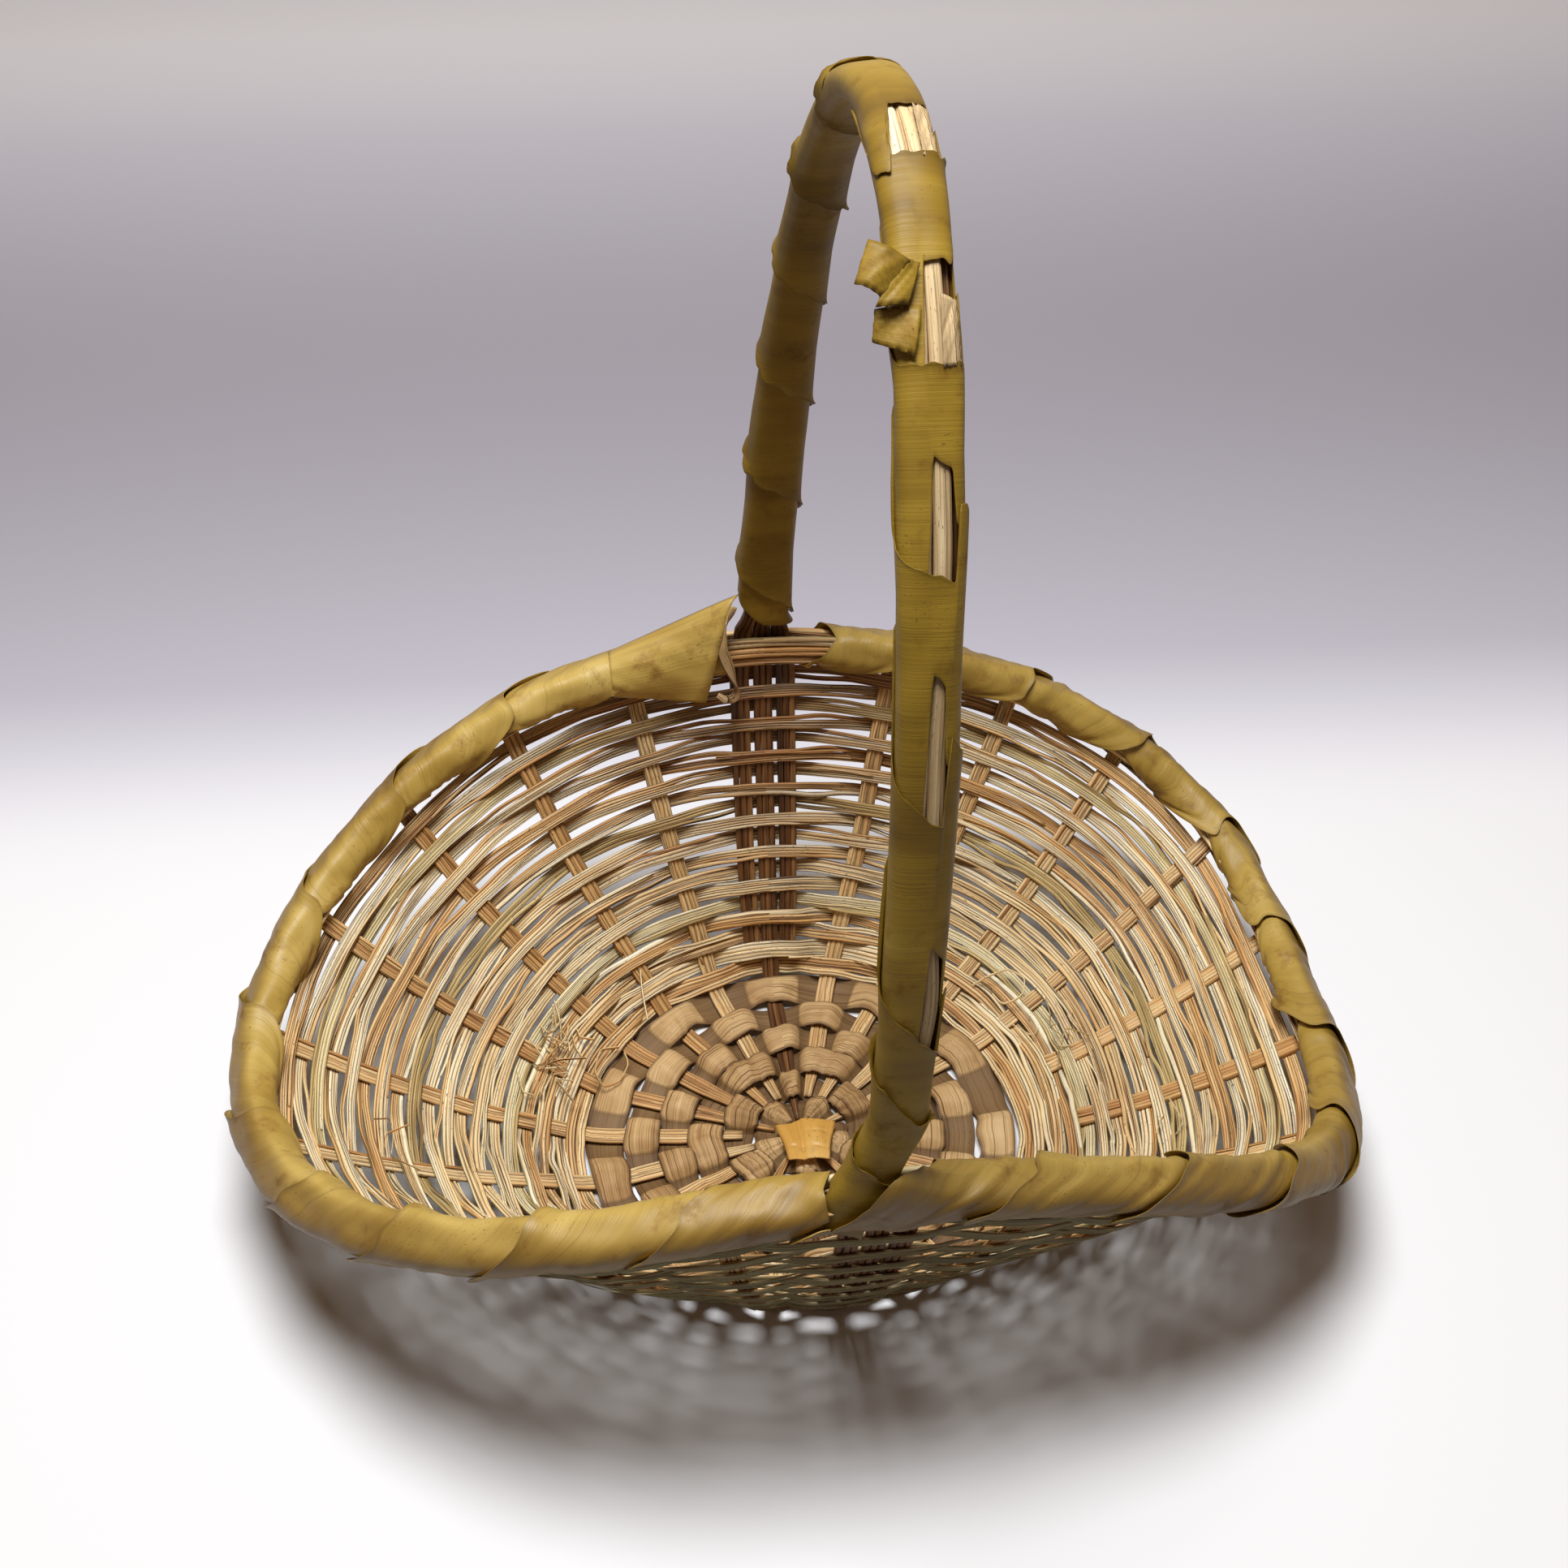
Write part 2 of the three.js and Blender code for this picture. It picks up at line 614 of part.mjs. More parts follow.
// Stops along the arch: close together where the strips gather and again over the tight crown.
const gatherShare = GATHER_LENGTH / archLength;
const gatherStops = Array.from({ length: GATHER_STEPS + 1 }, (_, i) => (gatherShare * i) / GATHER_STEPS);
const clearOfGather = gatherShare * (1 + GATHER_MARGIN);
const evenStops = Array.from({ length: HANDLE_STEPS + 1 }, (_, i) => {
  const reached = arch.getLengths()[Math.round((i / HANDLE_STEPS) * LENGTH_DIVISIONS)];
  return reached / archLength;
});
const archStops = [
  ...gatherStops,
  ...evenStops.filter((stop) => stop > clearOfGather && stop < 1 - clearOfGather),
  ...gatherStops.map((stop) => 1 - stop).reverse(),
];

// Sections of one of the three strips up a wall, from the base or from where a side strip starts.
function handleWallSections(station, lane, mirror) {
  const sections = [];
  if (lane === 0) {
    sections.push(...baseSections(station, HANDLE_STRIP_THICKNESS));
  }
  for (const height of wallHeights(station, lane === 0 ? KNEE_LENGTH : SIDE_STRIP_START)) {
    const width = handleStripWidth(height);
    const frame = shifted(wallFrame(station, height), { side: lane * mirror * (width + CLEARANCE) });
    sections.push(acrossSection(frame, width, HANDLE_STRIP_THICKNESS));
  }
  return sections;
}

function handleStrip(lane) {
  const back = handleWallSections(0, lane, 1);
  const over = archStops.map((fraction) => {
    const width = archStripWidth(fraction);
    const side = lane * (width + CLEARANCE);
    const frame = shifted(archFrame(fraction), { side, out: archStripOut(fraction) });
    return acrossSection(frame, width, archStripThickness(fraction));
  });
  const front = handleWallSections(HALF_TURN, lane, -1)
    .map(([a, b, c, d]) => [b, a, d, c])
    .reverse();
  return sweep([...back, ...over, ...front], false);
}

addPiece('handle_strip_right', handleStrip(-1), STRIP_BROWN, DRY_ROUGHNESS);
addPiece('handle_strip_middle', handleStrip(0), STRIP_BROWN, DRY_ROUGHNESS);
addPiece('handle_strip_left', handleStrip(1), STRIP_BROWN, DRY_ROUGHNESS);

function coreStick(lane) {
  const side = (lane * (CORE_STICK_WIDTH + CLEARANCE)) / 2;
  const sections = archStops.map((fraction) => {
    const frame = shifted(archFrame(fraction), { side, out: coreStickOut(fraction) });
    return acrossSection(frame, CORE_STICK_WIDTH, CORE_STICK_DEPTH);
  });
  return sweep(sections, false);
}

addPiece('handle_core_stick_right', coreStick(-1), PALE_WOOD, DRY_ROUGHNESS);
addPiece('handle_core_stick_left', coreStick(1), PALE_WOOD, DRY_ROUGHNESS);

// Ribbons wound in one unbroken strip

// Outline of the rim bundle: over the top, down the inside, out through the wall and up the outside.
const bundleCorners = [
  [BUNDLE_FLAT, BUNDLE_TOP],
  [-BUNDLE_FLAT, BUNDLE_TOP],
  [-BUNDLE_HALF, BUNDLE_SHOULDER],
  [-BUNDLE_HALF, -BUNDLE_SHOULDER],
  [-BUNDLE_FLAT, PASS_LEVEL],
  [BUNDLE_FLAT, PASS_LEVEL],
  [BUNDLE_HALF, -BUNDLE_SHOULDER],
  [BUNDLE_HALF, BUNDLE_SHOULDER],
];
const stepsPerTurn = bundleCorners.length;

// Outline of a bundle as eight corners, each with the way that the ribbon's thickness lies there.
function bundleOutline(corners) {
  return corners.map(([x, y], i) => {
    const previous = corners.at(i - 1);
    const next = corners[(i + 1) % corners.length];
    const out = new THREE.Vector2(previous[1] - next[1], next[0] - previous[0]).normalize();
    return { x, y, out };
  });
}

// Ribbon sections follow the outline corner by corner while the ribbon's middle moves along the path.
// spanAt gives both edges of the ribbon, and pointAt places an outline point on the path.
function ribbonSections(steps, columns, spanAt, pointAt) {
  return steps.map((step) => {
    const [low, high] = spanAt(step);
    const outer = [];
    const inner = [];
    for (let column = 0; column <= columns; column += 1) {
      const position = THREE.MathUtils.lerp(low, high, column / columns);
      outer.push(pointAt(position, step, RIBBON_THICKNESS / 2));
      inner.unshift(pointAt(position, step, -RIBBON_THICKNESS / 2));
    }
    return [...outer, ...inner];
  });
}

// The least distance between turns, taken on the section points that are over half a turn apart.
function leastTurnGap(sections) {
  let least = Infinity;
  for (let i = 0; i < sections.length; i += 1) {
    for (let j = i + stepsPerTurn / 2 + 1; j < sections.length; j += 1) {
      for (const a of sections[i]) {
        for (const b of sections[j]) {
          least = Math.min(least, a.distanceTo(b));
        }
      }
    }
  }
  return least;
}

function addRibbon(name, sections) {
  const turns = (sections.length / stepsPerTurn).toFixed(1);
  console.log(`${name}: ${turns} turns, least gap ${leastTurnGap(sections).toFixed(2)} mm`);
  addPiece(name, sweep(sections, false), PALM_GREEN, LEAF_ROUGHNESS);
}

// Share of the way round the outline at each corner, counted from its start.
function outlineShares(corners) {
  const sides = corners.map(([x, y], i) => {
    const [nextX, nextY] = corners[(i + 1) % corners.length];
    return Math.hypot(nextX - x, nextY - y);
  });
  const total = sides.reduce((sum, side) => sum + side, 0);
  let covered = 0;
  return sides.map((side) => {
    const share = covered / total;
    covered += side;
    return share;
  });
}

// Rim bindings: over the top, down the inside and out through the wall, once in each space

const bundle = bundleOutline(bundleCorners);
const bundleShares = outlineShares(bundleCorners);
const atPass = bundleCorners.map(([, y]) => y === PASS_LEVEL);
const passShare = (bundleShares[atPass.indexOf(true)] + bundleShares[atPass.lastIndexOf(true)]) / 2;

// A point of the bundle's outline at a fractional station.
function onBundle(position, step, lift) {
  const { x, y, out } = bundle[step % stepsPerTurn];
  const frame = wallFrame(position, 1);
  return shifted(frame, { out: x + out.x * lift, up: y + out.y * lift }).point;
}

function stationSpacing(position) {
  return wallFrame(position - 0.5, 1).point.distanceTo(wallFrame(position + 0.5, 1).point);
}

function rimRibbon(name, firstStation) {
  const handleReach = wallHalfWidth(0, 1) + EDGE_MARGIN + CLEARANCE;
  const lowest = firstStation + handleReach / stationSpacing(firstStation);
  const highest = firstStation + HALF_TURN - handleReach / stationSpacing(firstStation);
  const span = (step) => {
    const turn = Math.floor(step / stepsPerTurn);
    const corner = step % stepsPerTurn;
    const middle = firstStation + turn + 0.5 - passShare + bundleShares[corner];
    const spacing = stationSpacing(middle);
    const full = 1 - RIBBON_TURN_GAP / spacing;
    const width = atPass[corner] ? RIM_RIBBON_PASS_WIDTH / spacing : full;
    return [Math.max(middle - width / 2, lowest), Math.min(middle + width / 2, highest)];
  };
  const leastSpan = RIBBON_END_WIDTH / stationSpacing(firstStation + 1);
  const steps = Array.from({ length: stepsPerTurn * (HALF_TURN + 1) }, (_, step) => step)
    .filter((step) => span(step)[1] - span(step)[0] > leastSpan);
  const sections = ribbonSections(steps, RIM_RIBBON_COLUMNS, span, onBundle);
  addRibbon(name, sections);
}

rimRibbon('rim_binding_left', 0);
rimRibbon('rim_binding_right', HALF_TURN);

// Handle binding: one ribbon from the back foot over the arch to the front foot

function gripCorners(fraction) {
  const grow = HANDLE_RIBBON_CLEARANCE + RIBBON_THICKNESS / 2;
  const half = 1.5 * archStripWidth(fraction) + CLEARANCE + grow;
  const inside = archStripOut(fraction) - archStripThickness(fraction) / 2 - grow;
  const outside = coreStickOut(fraction) + CORE_STICK_DEPTH / 2 + grow;
  const outsideFlat = CORE_STICK_WIDTH + CLEARANCE / 2 + grow;
  const shoulder = archStripOut(fraction) + archStripThickness(fraction) / 2 + grow;
  return [
    [outsideFlat, outside],
    [-outsideFlat, outside],
    [-half, shoulder],
    [-half, inside + HANDLE_RIBBON_CHAMFER],
    [-half + HANDLE_RIBBON_CHAMFER, inside],
    [half - HANDLE_RIBBON_CHAMFER, inside],
    [half, inside + HANDLE_RIBBON_CHAMFER],
    [half, shoulder],
  ];
}

const gripShares = outlineShares(gripCorners(0.5));

function onGrip(position, step, lift) {
  const fraction = THREE.MathUtils.clamp(position, 0, 1);
  const { x, y, out } = bundleOutline(gripCorners(fraction))[step % stepsPerTurn];
  return shifted(archFrame(fraction), { side: x + out.x * lift, out: y + out.y * lift }).point;
}

function handleRibbon() {
  const pitch = 1 / HANDLE_RIBBON_TURNS;
  const width = pitch - RIBBON_TURN_GAP / archLength;
  const span = (step) => {
    const turn = Math.floor(step / stepsPerTurn);
    const middle = pitch * (turn + gripShares[step % stepsPerTurn] - 0.5);
    return [Math.max(middle - width / 2, 0), Math.min(middle + width / 2, 1)];
  };
  const steps = Array.from({ length: stepsPerTurn * (HANDLE_RIBBON_TURNS + 2) }, (_, step) => step)
    .filter((step) => (span(step)[1] - span(step)[0]) * archLength > RIBBON_END_WIDTH);
  const sections = ribbonSections(steps, HANDLE_RIBBON_COLUMNS, span, onGrip);
  addRibbon('handle_binding', sections);
}

handleRibbon();

export default basket;
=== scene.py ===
import bpy
import numpy as np
from mathutils import Matrix, Vector


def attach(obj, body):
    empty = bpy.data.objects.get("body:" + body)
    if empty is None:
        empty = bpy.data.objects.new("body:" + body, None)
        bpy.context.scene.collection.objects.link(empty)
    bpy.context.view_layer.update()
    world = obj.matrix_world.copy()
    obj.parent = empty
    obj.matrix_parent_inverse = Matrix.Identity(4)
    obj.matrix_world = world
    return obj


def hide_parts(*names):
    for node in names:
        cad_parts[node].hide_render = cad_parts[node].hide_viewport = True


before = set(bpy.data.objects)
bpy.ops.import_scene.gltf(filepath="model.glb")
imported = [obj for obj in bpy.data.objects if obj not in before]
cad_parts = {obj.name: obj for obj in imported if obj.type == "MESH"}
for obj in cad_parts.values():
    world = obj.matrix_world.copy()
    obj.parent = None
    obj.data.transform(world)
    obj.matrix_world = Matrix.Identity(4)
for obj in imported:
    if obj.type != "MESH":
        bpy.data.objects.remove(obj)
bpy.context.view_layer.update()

# Camera: it looks down into the basket from the front, a little to the left of it, from about
# eighty centimetres away.
CAMERA_TARGET = Vector((0.0002, 0.0203, 0.1691))
CAMERA_DISTANCE = 0.8241
CAMERA_AZIMUTH = np.radians(-8.89)
CAMERA_ELEVATION = np.radians(42.67)
CAMERA_ROLL = np.radians(0.35)
CAMERA_LENS = 53.64
CAMERA_SENSOR = 36.0

level = np.cos(CAMERA_ELEVATION)
left, front = np.sin(CAMERA_AZIMUTH) * level, -np.cos(CAMERA_AZIMUTH) * level
view_back = Vector((left, front, np.sin(CAMERA_ELEVATION)))
view_right = Vector((np.cos(CAMERA_AZIMUTH), np.sin(CAMERA_AZIMUTH), 0))
view_up = view_back.cross(view_right)
rolled_right = view_right * np.cos(CAMERA_ROLL) + view_up * np.sin(CAMERA_ROLL)
rolled_up = view_up * np.cos(CAMERA_ROLL) - view_right * np.sin(CAMERA_ROLL)
camera_data = bpy.data.cameras.new("camera")
camera_data.lens = CAMERA_LENS
camera_data.sensor_width = CAMERA_SENSOR
camera_data.clip_start = 0.01
camera = bpy.data.objects.new("camera", camera_data)
camera_axes = Matrix((rolled_right, rolled_up, view_back)).transposed().to_4x4()
camera.matrix_world = Matrix.Translation(CAMERA_TARGET + CAMERA_DISTANCE * view_back) @ camera_axes
bpy.context.scene.collection.objects.link(camera)
bpy.context.scene.camera = camera

# Stakes: flat ribs of split palm, ridged by the fibre bundles they were split along. They radiate from
# the middle of the base, turn up at the knee and climb the wall into the rim. Two were put in later,
# and their cut ends show low on the right wall.
STATIONS = 22
HALF_TURN = STATIONS // 2
RIM_HALF_LENGTH = 0.200
RIM_HALF_DEPTH = 0.137
RIM_HEIGHT_MIDDLE = 0.136
RIM_HEIGHT_LEFT = 0.057
RIM_HEIGHT_RIGHT = 0.0495
RIM_DIP_POWER = 1.88
RIM_SQUARENESS = 2.8
RIM_SQUARENESS_BIAS = 0.7
RIM_END_SHIFT = 0.0085
BASE_RADIUS = 0.080
BASE_X = 0.004
BASE_Y = -0.004
WALL_BULGE = 0.006
STAKE_LEVEL = 0.0024
STAKE_WIDTH = 0.0073
STAKE_THICKNESS = 0.0022
STAKE_INNER_RADIUS = 0.008
SHORT_STAKE_INNER_RADIUS = 0.019
CENTRE_STATIONS = (0, 2, 4, 7, 9, 11, 13, 15, 18, 20)
STAKE_CROWDING = 0.55
STAKE_TOP = 0.0055
KNEE_REACH = 0.006
INSERTED_STAKES = {16: 0.025, 17: 0.022}
INSERTED_SPLINTS = 5
INSERTED_ENDS = (-0.002, 0.004)
INSERTED_SPLAY = 0.0022
SPLAY_LIFT = 0.0012
SPLAY_LENGTH = 0.006
SPLINT_DRIFT = 0.00016
SPLINT_LIFT = 0.00012
SPLINT_ROUNDING = 0.45
THINNEST_HALF = 0.00005
STAKE_DRIFT = 0.0003
STAKE_FURROW = 0.00038
STRAND_WIDTH = 0.0011
STRAND_THICKNESS = 0.0005
STRAND_STANDOFF = 0.0002
WANDER_LENGTH = 0.25
STATION_NUDGE = 0.02
HANDLE_FOOT_X = 0.009
STAKE_STEP = 0.0035
# Darker tones for a few listed stakes, mostly on the back left: partly their own reddish colour, partly
# painted shade.
SHADED_STAKE_TONES = {2: 0.36, 3: 0.34, 4: 0.5, 9: 0.4, 14: 0.45}
# Where straw splints with skin get a painted shade, high on the back wall.
PAINTED_SHADE_PLACE = (0.0, 0.12, 0.125)
TAN_COLOURS = [(104, 60, 24), (190, 138, 80), (226, 182, 120), (244, 216, 164)]


def signed_power(value, power):
    """The size of a value raised to a power, with its sign kept."""
    return np.sign(value) * np.abs(value) ** power


def unit(vectors):
    """Vectors divided by their lengths."""
    return vectors / np.linalg.norm(vectors, axis=-1, keepdims=True)


def square_to(vectors, axis):
    """Unit vectors left when the share along a unit axis is taken away."""
    return unit(vectors - axis * np.sum(vectors * axis, -1, keepdims=True))


def travelled(points):
    """Distance walked along a path up to each of its points."""
    return np.concatenate([[0.0], np.cumsum(np.linalg.norm(np.diff(points, axis=0), axis=1))])


def rim_point(angle):
    """A superellipse, squarer at the right end, whose height dips towards both ends."""
    squareness = RIM_SQUARENESS + RIM_SQUARENESS_BIAS * np.cos(angle)
    reach = signed_power(np.cos(angle), 2 / squareness)
    depth = signed_power(np.sin(angle), 2 / squareness)
    low = np.where(reach < 0, RIM_HEIGHT_LEFT, RIM_HEIGHT_RIGHT)
    height = low + (RIM_HEIGHT_MIDDLE - low) * (1 - np.abs(reach) ** RIM_DIP_POWER)
    return np.stack([RIM_HALF_LENGTH * reach, RIM_HALF_DEPTH * depth + RIM_END_SHIFT * reach**2, height], -1)


foot_angle = np.arccos((HANDLE_FOOT_X / RIM_HALF_LENGTH) ** (RIM_SQUARENESS / 2))
left_angles = np.linspace(foot_angle, 2 * np.pi - foot_angle, 601)
right_angles = np.linspace(2 * np.pi - foot_angle, 2 * np.pi + foot_angle, 601)
left_shares = travelled(rim_point(left_angles))
right_shares = travelled(rim_point(right_angles))
rim_angles = np.concatenate([left_angles, right_angles])
rim_shares = [left_shares / left_shares[-1], 1 + right_shares / right_shares[-1]]
rim_stations = HALF_TURN * np.concatenate(rim_shares)


def rim_at(station):
    """The rim at a station: stations are evenly spaced along each side from one handle foot to the other."""
    return rim_point(np.interp(np.mod(station, STATIONS), rim_stations, rim_angles))


def base_point(station, radius):
    """A point of a circle on the base, at the level of the stakes."""
    angle = np.pi / 2 + 2 * np.pi * station / STATIONS
    level = np.full_like(angle + radius, STAKE_LEVEL)
    return np.stack([BASE_X + radius * np.cos(angle), BASE_Y + radius * np.sin(angle), level], -1)


def wall_curve(station, height):
    """Point, direction up and chord of one arc from the base's edge (height 0) to the rim (height 1),
    a quadratic curve whose middle is pushed outwards, square to its chord."""
    station, height = np.broadcast_arrays(np.asarray(station, float), np.asarray(height, float))
    foot = base_point(station, BASE_RADIUS)
    rim = rim_at(station)
    chord = rim - foot
    length = np.linalg.norm(chord, axis=-1, keepdims=True)
    run = np.linalg.norm(chord[..., :2], axis=-1, keepdims=True)
    outwards = np.concatenate([chord[..., :2] / run * chord[..., 2:] / length, -run / length], -1)
    bow = (foot + rim) / 2 + 2 * WALL_BULGE * outwards
    h = height[..., None]
    point = (1 - h) ** 2 * foot + 2 * h * (1 - h) * bow + h**2 * rim
    return point, unit((1 - h) * (bow - foot) + h * (rim - bow)), length[..., 0]


def wall_frame(station, height):
    """Point of the wall with its directions along the rim, up the wall and outwards."""
    point, along, _ = wall_curve(station, height)
    ahead = wall_curve(station + STATION_NUDGE, height)[0]
    behind = wall_curve(station - STATION_NUDGE, height)[0]
    across = square_to(ahead - behind, along)
    return point, across, along, np.cross(across, along)


def wave(place, seed, low, high, terms=5):
    """Slow noise between about -1 and 1: a sum of sines, each with a whole number of waves per unit of
    place between low and high, so that it closes on a ring whose place runs from 0 to 1."""
    draw = np.random.default_rng(seed)
    counts = draw.integers(low, high + 1, terms)
    phases = draw.uniform(0, 2 * np.pi, terms)
    sizes = draw.uniform(0.5, 1.0, terms)
    waves = np.sin(2 * np.pi * counts * np.asarray(place)[..., None] + phases) * sizes
    return waves.sum(-1) / np.sqrt(terms)


def loft(sections, lengthwise, crosswise, closed=False, tone=0.5, edge=1.0):
    """A closed skin over a row of sections with equal corners, as a ring or with a cap at each end: one
    quad between each two corners and the same two of the next section, turned to face outwards. A
    section lists its outer side one way and its inner side back again. The map holds metres along and
    across; tone sets the shade, and edge is 0 at a raw edge or in a furrow and 1 well inside."""
    count, corners = sections.shape[:2]
    spans = count if closed else count - 1
    i, j = np.meshgrid(np.arange(spans), np.arange(corners), indexing="ij")
    ahead, beside = (i + 1) % count, (j + 1) % corners
    u = np.append(lengthwise, 2 * lengthwise[-1] - lengthwise[-2]) if closed else lengthwise
    v = np.broadcast_to(crosswise, (count, corners))
    around = [(i, i, j), (i, i, beside), (ahead, i + 1, beside), (ahead, i + 1, j)]
    quads = np.stack([row * corners + corner for row, _, corner in around], -1).reshape(-1, 4)
    places = [np.stack([u[along], v[row, corner]], -1) for row, along, corner in around]
    places = np.stack(places, -2).reshape(-1, 4, 2)
    if not closed:
        k = np.arange(corners // 2 - 1)
        cap = np.stack([k, corners - 1 - k, corners - 2 - k, k + 1], -1)
        last = (count - 1) * corners + cap[:, ::-1]
        quads = np.concatenate([quads, cap, last])
        cap_places = np.stack([np.full(cap.shape, u[0]), v[0][cap]], -1)
        last_places = np.stack([np.full(cap.shape, u[-1]), v[-1][cap[:, ::-1]]], -1)
        places = np.concatenate([places, cap_places, last_places])
    points = sections.reshape(-1, 3)
    a, b, c, d = (points[quads[:, n]] for n in range(4))
    volume = np.sum(a * np.cross(b, c)) + np.sum(a * np.cross(c, d))
    if volume < 0:
        quads, places = quads[:, ::-1], places[:, ::-1]
    tones, edges = (np.broadcast_to(value, (count, corners)).reshape(-1) for value in (tone, edge))
    return {"points": points, "quads": quads, "places": places, "tone": tones, "edge": edges}


def make_piece(name, parts, material):
    """One mesh object out of lofted parts, smooth shaded, with their map and values."""
    offsets = np.cumsum([0] + [len(part["points"]) for part in parts[:-1]])
    quads = np.concatenate([part["quads"] + offset for part, offset in zip(parts, offsets)])
    points = np.concatenate([part["points"] for part in parts])
    mesh = bpy.data.meshes.new(name)
    mesh.vertices.add(len(points))
    mesh.vertices.foreach_set("co", points.astype(np.float32).ravel())
    mesh.loops.add(quads.size)
    mesh.loops.foreach_set("vertex_index", quads.astype(np.int32).ravel())
    mesh.polygons.add(len(quads))
    mesh.polygons.foreach_set("loop_start", np.arange(0, quads.size, 4, dtype=np.int32))
    mesh.polygons.foreach_set("use_smooth", np.ones(len(quads), bool))
    mesh.update(calc_edges=True)
    places = np.concatenate([part["places"] for part in parts])
    mesh.uv_layers.new(name="grain").data.foreach_set("uv", places.astype(np.float32).ravel())
    for value in ("tone", "edge"):
        values = np.concatenate([part[value] for part in parts]).astype(np.float32)
        mesh.attributes.new(value, "FLOAT", "POINT").data.foreach_set("value", values)
    mesh.materials.append(material)
    piece = bpy.data.objects.new(name, mesh)
    bpy.context.scene.collection.objects.link(piece)
    return piece


def steps_ahead(path, closed):
    """The way from the point before each point of a path to the point after it."""
    return np.roll(path, -1, 0) - np.roll(path, 1, 0) if closed else np.gradient(path, axis=0)


def carried(path, across, closed):
    """The directions across and out of a strip along a path, both square to the path."""
    tangent = unit(steps_ahead(path, closed))
    side = square_to(np.broadcast_to(across, path.shape), tangent)
    return side, np.cross(tangent, side)


def splint(path, across, width, thickness, closed=False, tone=0.5, start=0.0):
    """A flat rod carried along a path, a rectangle whose corners are cut off by a share of its smaller
    half size. Across is the direction of its width, which is made square to the path; width and
    thickness are whole sizes, one value or one for each point."""
    side, out = carried(path, across, closed)
    w = np.broadcast_to(width, len(path))[:, None] / 2
    t = np.broadcast_to(thickness, len(path))[:, None] / 2
    bevel = SPLINT_ROUNDING * np.minimum(w, t)
    right, top = w - bevel, t - bevel
    x = np.concatenate([w, right, -right, -w, -w, -right, right, w], 1)
    y = np.concatenate([top, t, t, top, -top, -t, -t, -top], 1)
    sections = path[:, None] + x[..., None] * side[:, None] + y[..., None] * out[:, None]
    return loft(sections, travelled(path) + start, x, closed, tone)


def ribbed(path, across, width, thickness, ridges, seed, closed=False, tone=0.5, start=0.0, furrow=0.0002):
    """A flat strip of split palm carried along a path, ridged lengthwise on both faces. Its half
    thickness falls off towards both edges, and drops by the furrow's depth where the crest, half a sine
    for each ridge, is 0. The ridges are uneven and their furrows wander; every ridge has a shade of its
    own, and edge is 0 in a furrow."""
    draw = np.random.default_rng(seed)
    side, out = carried(path, across, closed)
    bounds = np.concatenate([[0.0], np.cumsum(draw.uniform(0.6, 1.4, ridges))])
    third = np.arange(3 * ridges + 1)
    share = np.interp(third / 3, np.arange(ridges + 1), bounds / bounds[-1])
    crest = np.sin(np.pi * (third % 3) / 3) ** 0.6
    body = 0.4 + 0.6 * np.sqrt(1 - np.abs(2 * share - 1) ** 5)
    place = np.linspace(0, 1, len(path), endpoint=not closed)
    wander = 0.04 * np.sin(np.pi * share) * wave(place, seed + 1, 4, 20)[:, None]
    x = np.broadcast_to(width, len(path))[:, None] * (share - 0.5 + wander)
    half = np.broadcast_to(thickness, len(path))[:, None] / 2
    y = np.maximum(half * body - furrow * (1 - crest), THINNEST_HALF)
    middle = path[:, None] + x[..., None] * side[:, None]
    rise = y[..., None] * out[:, None]
    sections = np.concatenate([middle + rise, (middle - rise)[:, ::-1]], 1)
    shades = tone + draw.uniform(-0.16, 0.16, ridges)[np.minimum(third // 3, ridges - 1)]
    mirrored = [np.concatenate([value, value[..., ::-1]], -1) for value in (x, shades, crest)]
    return loft(sections, travelled(path) + start, mirrored[0], closed, mirrored[1], mirrored[2])


def linear(shade):
    """A display colour from 0 to 255 as the linear colour that a shader takes."""
    share = np.array(shade) / 255
    return [*np.where(share <= 0.04045, share / 12.92, ((share + 0.055) / 1.055) ** 2.4), 1.0]


def fill(tree, node, inputs):
    """Gives inputs of a node their values or links."""
    for key, value in inputs.items():
        if isinstance(value, bpy.types.NodeSocket):
            tree.links.new(value, node.inputs[key])
        else:
            node.inputs[key].default_value = value


def add_node(tree, kind, inputs=None, **settings):
    """A shader node with its settings, and a value or a link for each named input."""
    node = tree.nodes.new("ShaderNode" + kind)
    for name, value in settings.items():
        setattr(node, name, value)
    fill(tree, node, inputs or {})
    return node


def new_material(name):
    """An empty material with its tree and its shader."""
    material = bpy.data.materials.new(name)
    material.use_nodes = True
    return material, material.node_tree, material.node_tree.nodes["Principled BSDF"]


def object_place(tree):
    """The place on the object, in metres."""
    return add_node(tree, "TexCoord").outputs["Object"]


def piece_value(tree, name):
    """One of the values that every mesh carries: tone or edge."""
    return add_node(tree, "Attribute", attribute_name=name).outputs["Fac"]


def compute(tree, operation, first, second=0.0, third=0.0):
    """The result of one sum on numbers or sockets."""
    return add_node(tree, "Math", {0: first, 1: second, 2: third}, operation=operation).outputs[0]


def ramp(tree, factor, stops, interpolation="LINEAR"):
    """A colour or grey picked from stops of place and colour, blended between them."""
    node = add_node(tree, "ValToRGB", {"Fac": factor})
    node.color_ramp.interpolation = interpolation
    elements = node.color_ramp.elements
    while len(elements) < len(stops):
        elements.new(0.5)
    for element, (place, shade) in zip(elements, stops):
        element.position = place
        element.color = shade
    return node.outputs["Color"]


def grey(value):
    """A grey for a ramp that stands for a number."""
    return (value, value, value, 1)


def mask(tree, factor, none, full):
    """0 where a factor is none and 1 where it is full, which may be the lower one, straight between."""
    return ramp(tree, factor, sorted([(none, grey(0)), (full, grey(1))]))


def blend_colours(tree, blend, factor, first, second):
    """One colour laid over another in a blend mode."""
    inputs = {0: factor, 6: first, 7: second}
    return add_node(tree, "Mix", inputs, data_type="RGBA", blend_type=blend).outputs[2]


